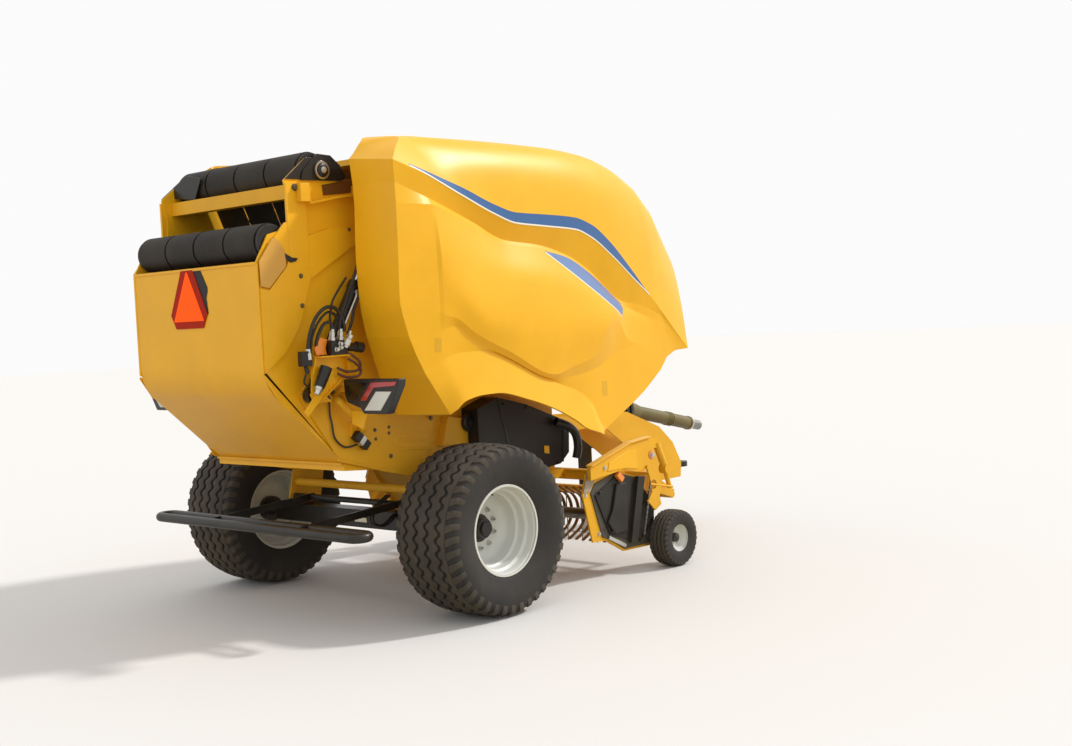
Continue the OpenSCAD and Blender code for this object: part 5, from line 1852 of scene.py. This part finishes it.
@dataclass
class PickupTrim(Assembly):
    """Strippers, tines, chain, bolts and the spring on the pickup.

    Attributes:
        reel: The reel's axis as x and z.
        half: Half the pickup's width inside its side plates.
        plate: How far a side plate's outer face lies from the middle.
        cover: How far a side cover's outer face lies from the middle.
    """

    reel: Point2 = (1520.0, 372.0)
    half: float = 1080.0
    plate: float = 1110.0
    cover: float = 1140.0

    def strippers(self) -> None:
        """Adds the row of bent strips between the tines."""
        one = Sketch()
        x, z = self.reel
        outer = [(x - 120, z + 214)] + arc_points((x, z), 158, 100, -68, 14) + [(x - 40, z - 190)]
        inner = [(px + (x - px) * 0.05, pz + (z - pz) * 0.05) for px, pz in outer]
        one.plate([*outer, *inner[::-1]], -self.half + 32, 26)
        one.mend()
        count = 33
        step = (self.half - 32) * 2 / (count - 1)
        # The strips take a dark brown of painted shade and dirt.
        row = Pattern(PatternKind.ROW, count, (0, step, 0)).spread(one.mesh("stripper"), Paint.strip_shade_and_dirt)
        self.settle(row, "strippers", "pickup", Paint.strip_shade_and_dirt, sharp=35.0)

    def sides(self, sign: int) -> None:
        """Adds a side's bolts, liner, bulge, fin, flange, boss, rail, chain and stop block.

        Args:
            sign: 1 for the left side, -1 for the right one.
        """
        word = side_word(sign)
        bolts = Sketch()
        bolts.side_bolts([(x, z, 18) for x, z in ((1120, 600), (1320, 668), (1530, 628), (1690, 440), (1690, 350),
                                                  (1530, 225), (1235, 318))], sign, self.cover - 6)
        self.place(bolts, "pickup_bolts_" + word, "pickup", Paint.black, mend=True)
        bolts = Sketch()
        bolts.side_bolts(((995, 600, 20), (1120, 320, 20), (1790, 200, 34)), sign, self.plate)
        self.place(bolts, "plate_bolts_" + word, "pickup", Paint.zinc, mend=True)
        liner = Sketch()
        liner.plate([(1042, 606), (1092, 668), (1320, 716), (1552, 652), (1724, 450), (1718, 318), (1770, 268),
                     (1745, 172), (1386, 172), (1208, 268), (1148, 290)], sign * 1114, 10)
        self.place(liner, "pickup_liner_" + word, "pickup", Paint.panel_grey, bevel=2.0)
        bulge = Sketch()
        bulge.plate([(1290, 640), (1392, 640), (1392, 300), (1250, 300), (1180, 390), (1236, 470)], sign * 1139, 22)
        self.place(bulge, "pickup_bulge_" + word, "pickup", Paint.plastic, bevel=9.0)
        fin = Sketch()
        fin.plate([(968, 622), (1014, 738), (1080, 758), (1092, 700), (1034, 612)], sign * 1114, 8)
        self.place(fin, "pickup_fin_" + word, "pickup", Paint.pale_steel, bevel=2.0)
        flange = Sketch()
        flange.beam((1006, sign * 1145, 797), (1438, sign * 1145, 912), 58, 8)
        flange.beam((1430, sign * 1145, 911), (1667, sign * 1145, 930), 58, 8)
        flange.plate([(1180, 742), (1200, 800), (1420, 860), (1500, 850), (1510, 720), (1368, 742)], sign * 1162, 6)
        self.place(flange, "pickup_flange_" + word, "pickup", Paint.yellow, bevel=2.0)
        knob = Sketch()
        knob.lathe([(0, 34), (6, 34), (8, 30), (8, 0)], (1675, sign * 1160, 800), (0, sign, 0), 24)
        self.place(knob, "pickup_boss_" + word, "pickup", Paint.orange, mend=True)
        nut = Sketch()
        nut.bolt((1675, sign * 1168, 800), (0, sign, 0), 30)
        nut.bolt((1150, sign * 1160, 770), (0, sign, 0), 22)
        self.place(nut, "arm_bolts_" + word, "pickup", Paint.zinc, mend=True)
        rail = Sketch()
        rail.beam((1204, sign * 1124, 282), (1384, sign * 1124, 196), 16, 26)
        self.place(rail, "pickup_rail_" + word, "pickup", Paint.zinc, bevel=3.0)
        link = Sketch()
        link.block((-15, -5, -7), (15, 5, 7))
        turn = Matrix.Rotation(math.radians(-75), 3, "Y")
        for v in link.bm.verts:
            v.co = turn @ (v.co - ORIGIN) + at(1655, sign * 1166, 640)
        row = Pattern(PatternKind.ROW, 12, (-9.5, 0, -34)).spread(link.mesh("chain link"), Paint.steel)
        self.settle(row, "lift_chain_" + word, "pickup", Paint.steel, 1.2, 30.0)
        block = Sketch()
        block.beam((1294, sign * 1150, 712), (1346, sign * 1150, 662), 30, 44)
        self.place(block, "stop_block_" + word, "pickup", Paint.orange, bevel=4.0)

    def build(self) -> None:
        """Builds the pickup's trim."""
        self.strippers()
        for sign in both_sides():
            self.sides(sign)


@dataclass
class FrontTrim(Assembly):
    """Fittings of the gearbox, the drive shaft, the jack and the net box.

    Attributes:
        shaft_start: The drive shaft's start at the gearbox as x and z.
        slope: How many degrees it slopes down to the front.
    """

    shaft_start: Point2 = (2960.0, 985.0)
    slope: float = 12.4

    def shaft(self) -> None:
        """Adds the ribs and the band of the drive shaft's guard."""
        turn = math.radians(self.slope)
        along = Vector((math.cos(turn), 0, -math.sin(turn)))
        start = Vector((self.shaft_start[0], 0, self.shaft_start[1]))
        rings = Sketch()
        for reach in (470, 500, 530, 790):
            rings.lathe([(reach - 9, 54.6), (reach - 6, 60), (reach + 6, 60), (reach + 9, 54.6)], tuple(start),
                        tuple(along), 40)
        self.place(rings, "guard_ribs", "frame", Paint.guard, mend=True)
        band = Sketch()
        band.lathe([(806, 55), (806, 58.5), (824, 58.5), (824, 55)], tuple(start), tuple(along), 40)
        self.place(band, "guard_band", "frame", Paint.zinc, mend=True)

    def gearbox(self) -> None:
        """Adds the gearbox's ribs, cover and bolts."""
        ribs = Sketch()
        for x in (2530, 2590, 2650, 2710, 2770):
            ribs.block((x - 5, -150, 940), (x + 5, 150, 1136))
        ribs.block((2500, -120, 1138), (2790, 120, 1152))
        for x in (2520, 2770):
            for y in (-100, 100):
                ribs.bolt((x, y, 1152), (0, 0, 1), 20)
        self.place(ribs, "gearbox_ribs", "frame", Paint.black, bevel=2.0, mend=True)

    def net_box(self) -> None:
        """Adds the net box lid's grip and latches."""
        grip = Sketch()
        grip.pipe(rounded_path([(2150, -110, 1720), (2178, -110, 1720), (2178, 110, 1720), (2150, 110, 1720)], 24),
                  9, 14)
        self.place(grip, "lid_grip", "net_lid", Paint.black, sharp=50)
        seams = Sketch()
        for y in (-480, 480):
            seams.block((2150, y - 45, 1650), (2156, y + 45, 1710))
            seams.bolt((2156, y, 1680), (1, 0, 0), 22)
        self.place(seams, "lid_latches", "net_lid", Paint.zinc, bevel=1.5, mend=True)

    def jack(self) -> None:
        """Adds the jack's crank on its sleeve."""
        crank = Sketch()
        crank.pipe(rounded_path([(2700, 320, 885), (2700, 320, 925), (2830, 320, 925), (2830, 320, 985)], 16), 9, 12)
        self.place(crank, "jack_crank", "frame", Paint.zinc, sharp=50)

    def build(self) -> None:
        """Builds the front's trim."""
        self.shaft()
        self.gearbox()
        self.net_box()
        self.jack()


@dataclass
class PlainNodes(Assembly):
    """CAD nodes whose shape is right and which only need rounded edges and a finish."""

    def build(self) -> None:
        """Dresses each node."""
        table = {
            "main_frame": Paint.frame_yellow, "roof_cover": Paint.yellow, "net_box": Paint.yellow,
            "net_box_lid": Paint.yellow, "drawbar": Paint.frame_yellow, "hitch_eye": Paint.black,
            "gearbox": Paint.black, "pto_guard": Paint.guard, "pto_shaft": Paint.steel, "axle_beam": Paint.black,
            "feeder_covers": Paint.plastic, "feeder_rotor": Paint.steel, "feeder_floor": Paint.frame_yellow,
            "front_rollers": Paint.black, "front_belts": Paint.belt, "lamp_brackets": Paint.frame_yellow,
            "jack_sleeve": Paint.black, "jack_leg": Paint.zinc, "barrel_left": Paint.black,
            "barrel_right": Paint.black, "rod_left": Paint.chrome, "rod_right": Paint.chrome,
            "tailgate_shell": Paint.yellow, "tailgate_beam": Paint.frame_yellow, "tailgate_rollers": Paint.black,
            "tailgate_belts": Paint.belt, "shield_arms_left": Paint.yellow, "shield_arms_right": Paint.yellow,
            "pickup_frame": Paint.frame_yellow, "pickup_covers": Paint.plastic, "pickup_reel": Paint.steel,
            "windguard": Paint.frame_yellow, "bale_ramp": Paint.black,
        }
        for node, finish in table.items():
            self.dress(node, finish)


@dataclass
class Studio:
    """The floor, the light and the camera.

    Attributes:
        eye: The camera's place in metres from the axle's ground point.
        yaw: Its heading in degrees from straight ahead.
        pitch: Its tilt in degrees above the horizon.
        roll: Its lean in degrees.
        focal_px: Its focal length in pixels of a frame 1072 wide.
        frame_width: The frame's width in pixels.
        floor_half: Half the floor's width in metres.
        floor_seen: The floor's colour where the camera sees it.
        floor_lit: The floor's colour that it throws on the machine, as of dry grass.
        sky: The colour of the sky's light.
        sky_strength: Its strength.
        backdrop: The colour of the sky where the camera sees it.
        sun: The sun's colour.
        sun_strength: Its strength.
        sun_width: Its width in degrees, for soft shadows.
        sunwards: The direction towards it.
    """

    eye: Point3 = (-5.8834, -6.9401, 1.8356)
    yaw: float = 42.131
    pitch: float = -2.5054
    roll: float = -2.9359
    focal_px: float = 1344.3
    frame_width: float = 1072.0
    floor_half: float = 60.0
    floor_seen: Colour = (0.7, 0.7, 0.7)
    floor_lit: Colour = (0.45, 0.39, 0.22)
    sky: Colour = (1.0, 0.98, 0.95)
    sky_strength: float = 0.9
    backdrop: Colour = (0.97, 0.97, 0.97)
    sun: Colour = (1.0, 0.96, 0.9)
    sun_strength: float = 2.3
    sun_width: float = 5.0
    sunwards: Point3 = (0.92, -0.62, 0.95)

    def camera(self) -> None:
        """Places the camera at the photograph's angle."""
        yaw, pitch, roll = (math.radians(a) for a in (self.yaw, self.pitch, self.roll))
        ahead = Vector((math.cos(pitch) * math.cos(yaw), math.cos(pitch) * math.sin(yaw), math.sin(pitch)))
        level = ahead.cross(Vector((0, 0, 1))).normalized()
        upright = level.cross(ahead)
        right = level * math.cos(roll) + upright * math.sin(roll)
        up = upright * math.cos(roll) - level * math.sin(roll)
        data = bpy.data.cameras.new("camera")
        data.sensor_width = 36.0
        data.lens = data.sensor_width * self.focal_px / self.frame_width
        data.clip_start, data.clip_end = 0.1, 300.0
        camera = bpy.data.objects.new("camera", data)
        bpy.context.scene.collection.objects.link(camera)
        turn = Matrix((right, up, -ahead)).transposed().to_4x4()
        camera.matrix_world = Matrix.Translation(ORIGIN + Vector(self.eye)) @ turn
        bpy.context.scene.camera = camera

    def floor(self) -> None:
        """Lays a wide pale floor."""
        half = self.floor_half
        mesh = bpy.data.meshes.new("floor")
        mesh.from_pydata([(-half, -half, 0), (half, -half, 0), (half, half, 0), (-half, half, 0)], [], [(0, 1, 2, 3)])
        floor = bpy.data.objects.new("floor", mesh)
        bpy.context.scene.collection.objects.link(floor)
        material = bpy.data.materials.new("pale floor")
        material.use_nodes = True
        shader = material.node_tree.nodes["Principled BSDF"]
        shader.inputs["Roughness"].default_value = 0.85
        g = Graph(material.node_tree)
        colour = g.mix(g.seen(), opaque(self.floor_lit), opaque(self.floor_seen))
        g.tree.links.new(colour, shader.inputs["Base Color"])
        mesh.materials.append(material)

    def light(self) -> None:
        """Sets a soft sky and one soft sun from the front right."""
        world = bpy.data.worlds.new("studio")
        bpy.context.scene.world = world
        world.use_nodes = True
        g = Graph(world.node_tree)
        light = world.node_tree.nodes["Background"]
        light.inputs["Color"].default_value = opaque(self.sky)
        light.inputs["Strength"].default_value = self.sky_strength
        shown = g.add("ShaderNodeBackground", {"Color": opaque(self.backdrop), "Strength": 1.0})
        mixed = g.add("ShaderNodeMixShader", {0: g.seen(), 1: light.outputs[0], 2: shown.outputs[0]})
        g.tree.links.new(mixed.outputs[0], world.node_tree.nodes["World Output"].inputs["Surface"])
        lamp = bpy.data.lights.new("sun", "SUN")
        lamp.energy = self.sun_strength
        lamp.angle = math.radians(self.sun_width)
        lamp.color = self.sun
        sun = bpy.data.objects.new("sun", lamp)
        bpy.context.scene.collection.objects.link(sun)
        sun.rotation_mode = "QUATERNION"
        sun.rotation_quaternion = Vector(self.sunwards).normalized().to_track_quat("Z", "Y")

    def build(self) -> None:
        """Sets the stage."""
        self.camera()
        self.floor()
        self.light()
        bpy.context.scene.view_settings.view_transform = "Standard"


def note_sizes() -> None:
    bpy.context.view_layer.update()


def main() -> None:
    """Builds the machine's looks and the studio, in order."""
    logging.basicConfig(level=logging.INFO, format="%(name)s: %(message)s")
    SideShields().build()
    Wheels().build()
    TailgateTrim().build()
    Hydraulics().build()
    Lamps().build()
    FrameTrim().build()
    PickupTrim().build()
    FrontTrim().build()
    PlainNodes().build()
    Studio().build()
    note_sizes()


if __name__ == "__main__":
    main()
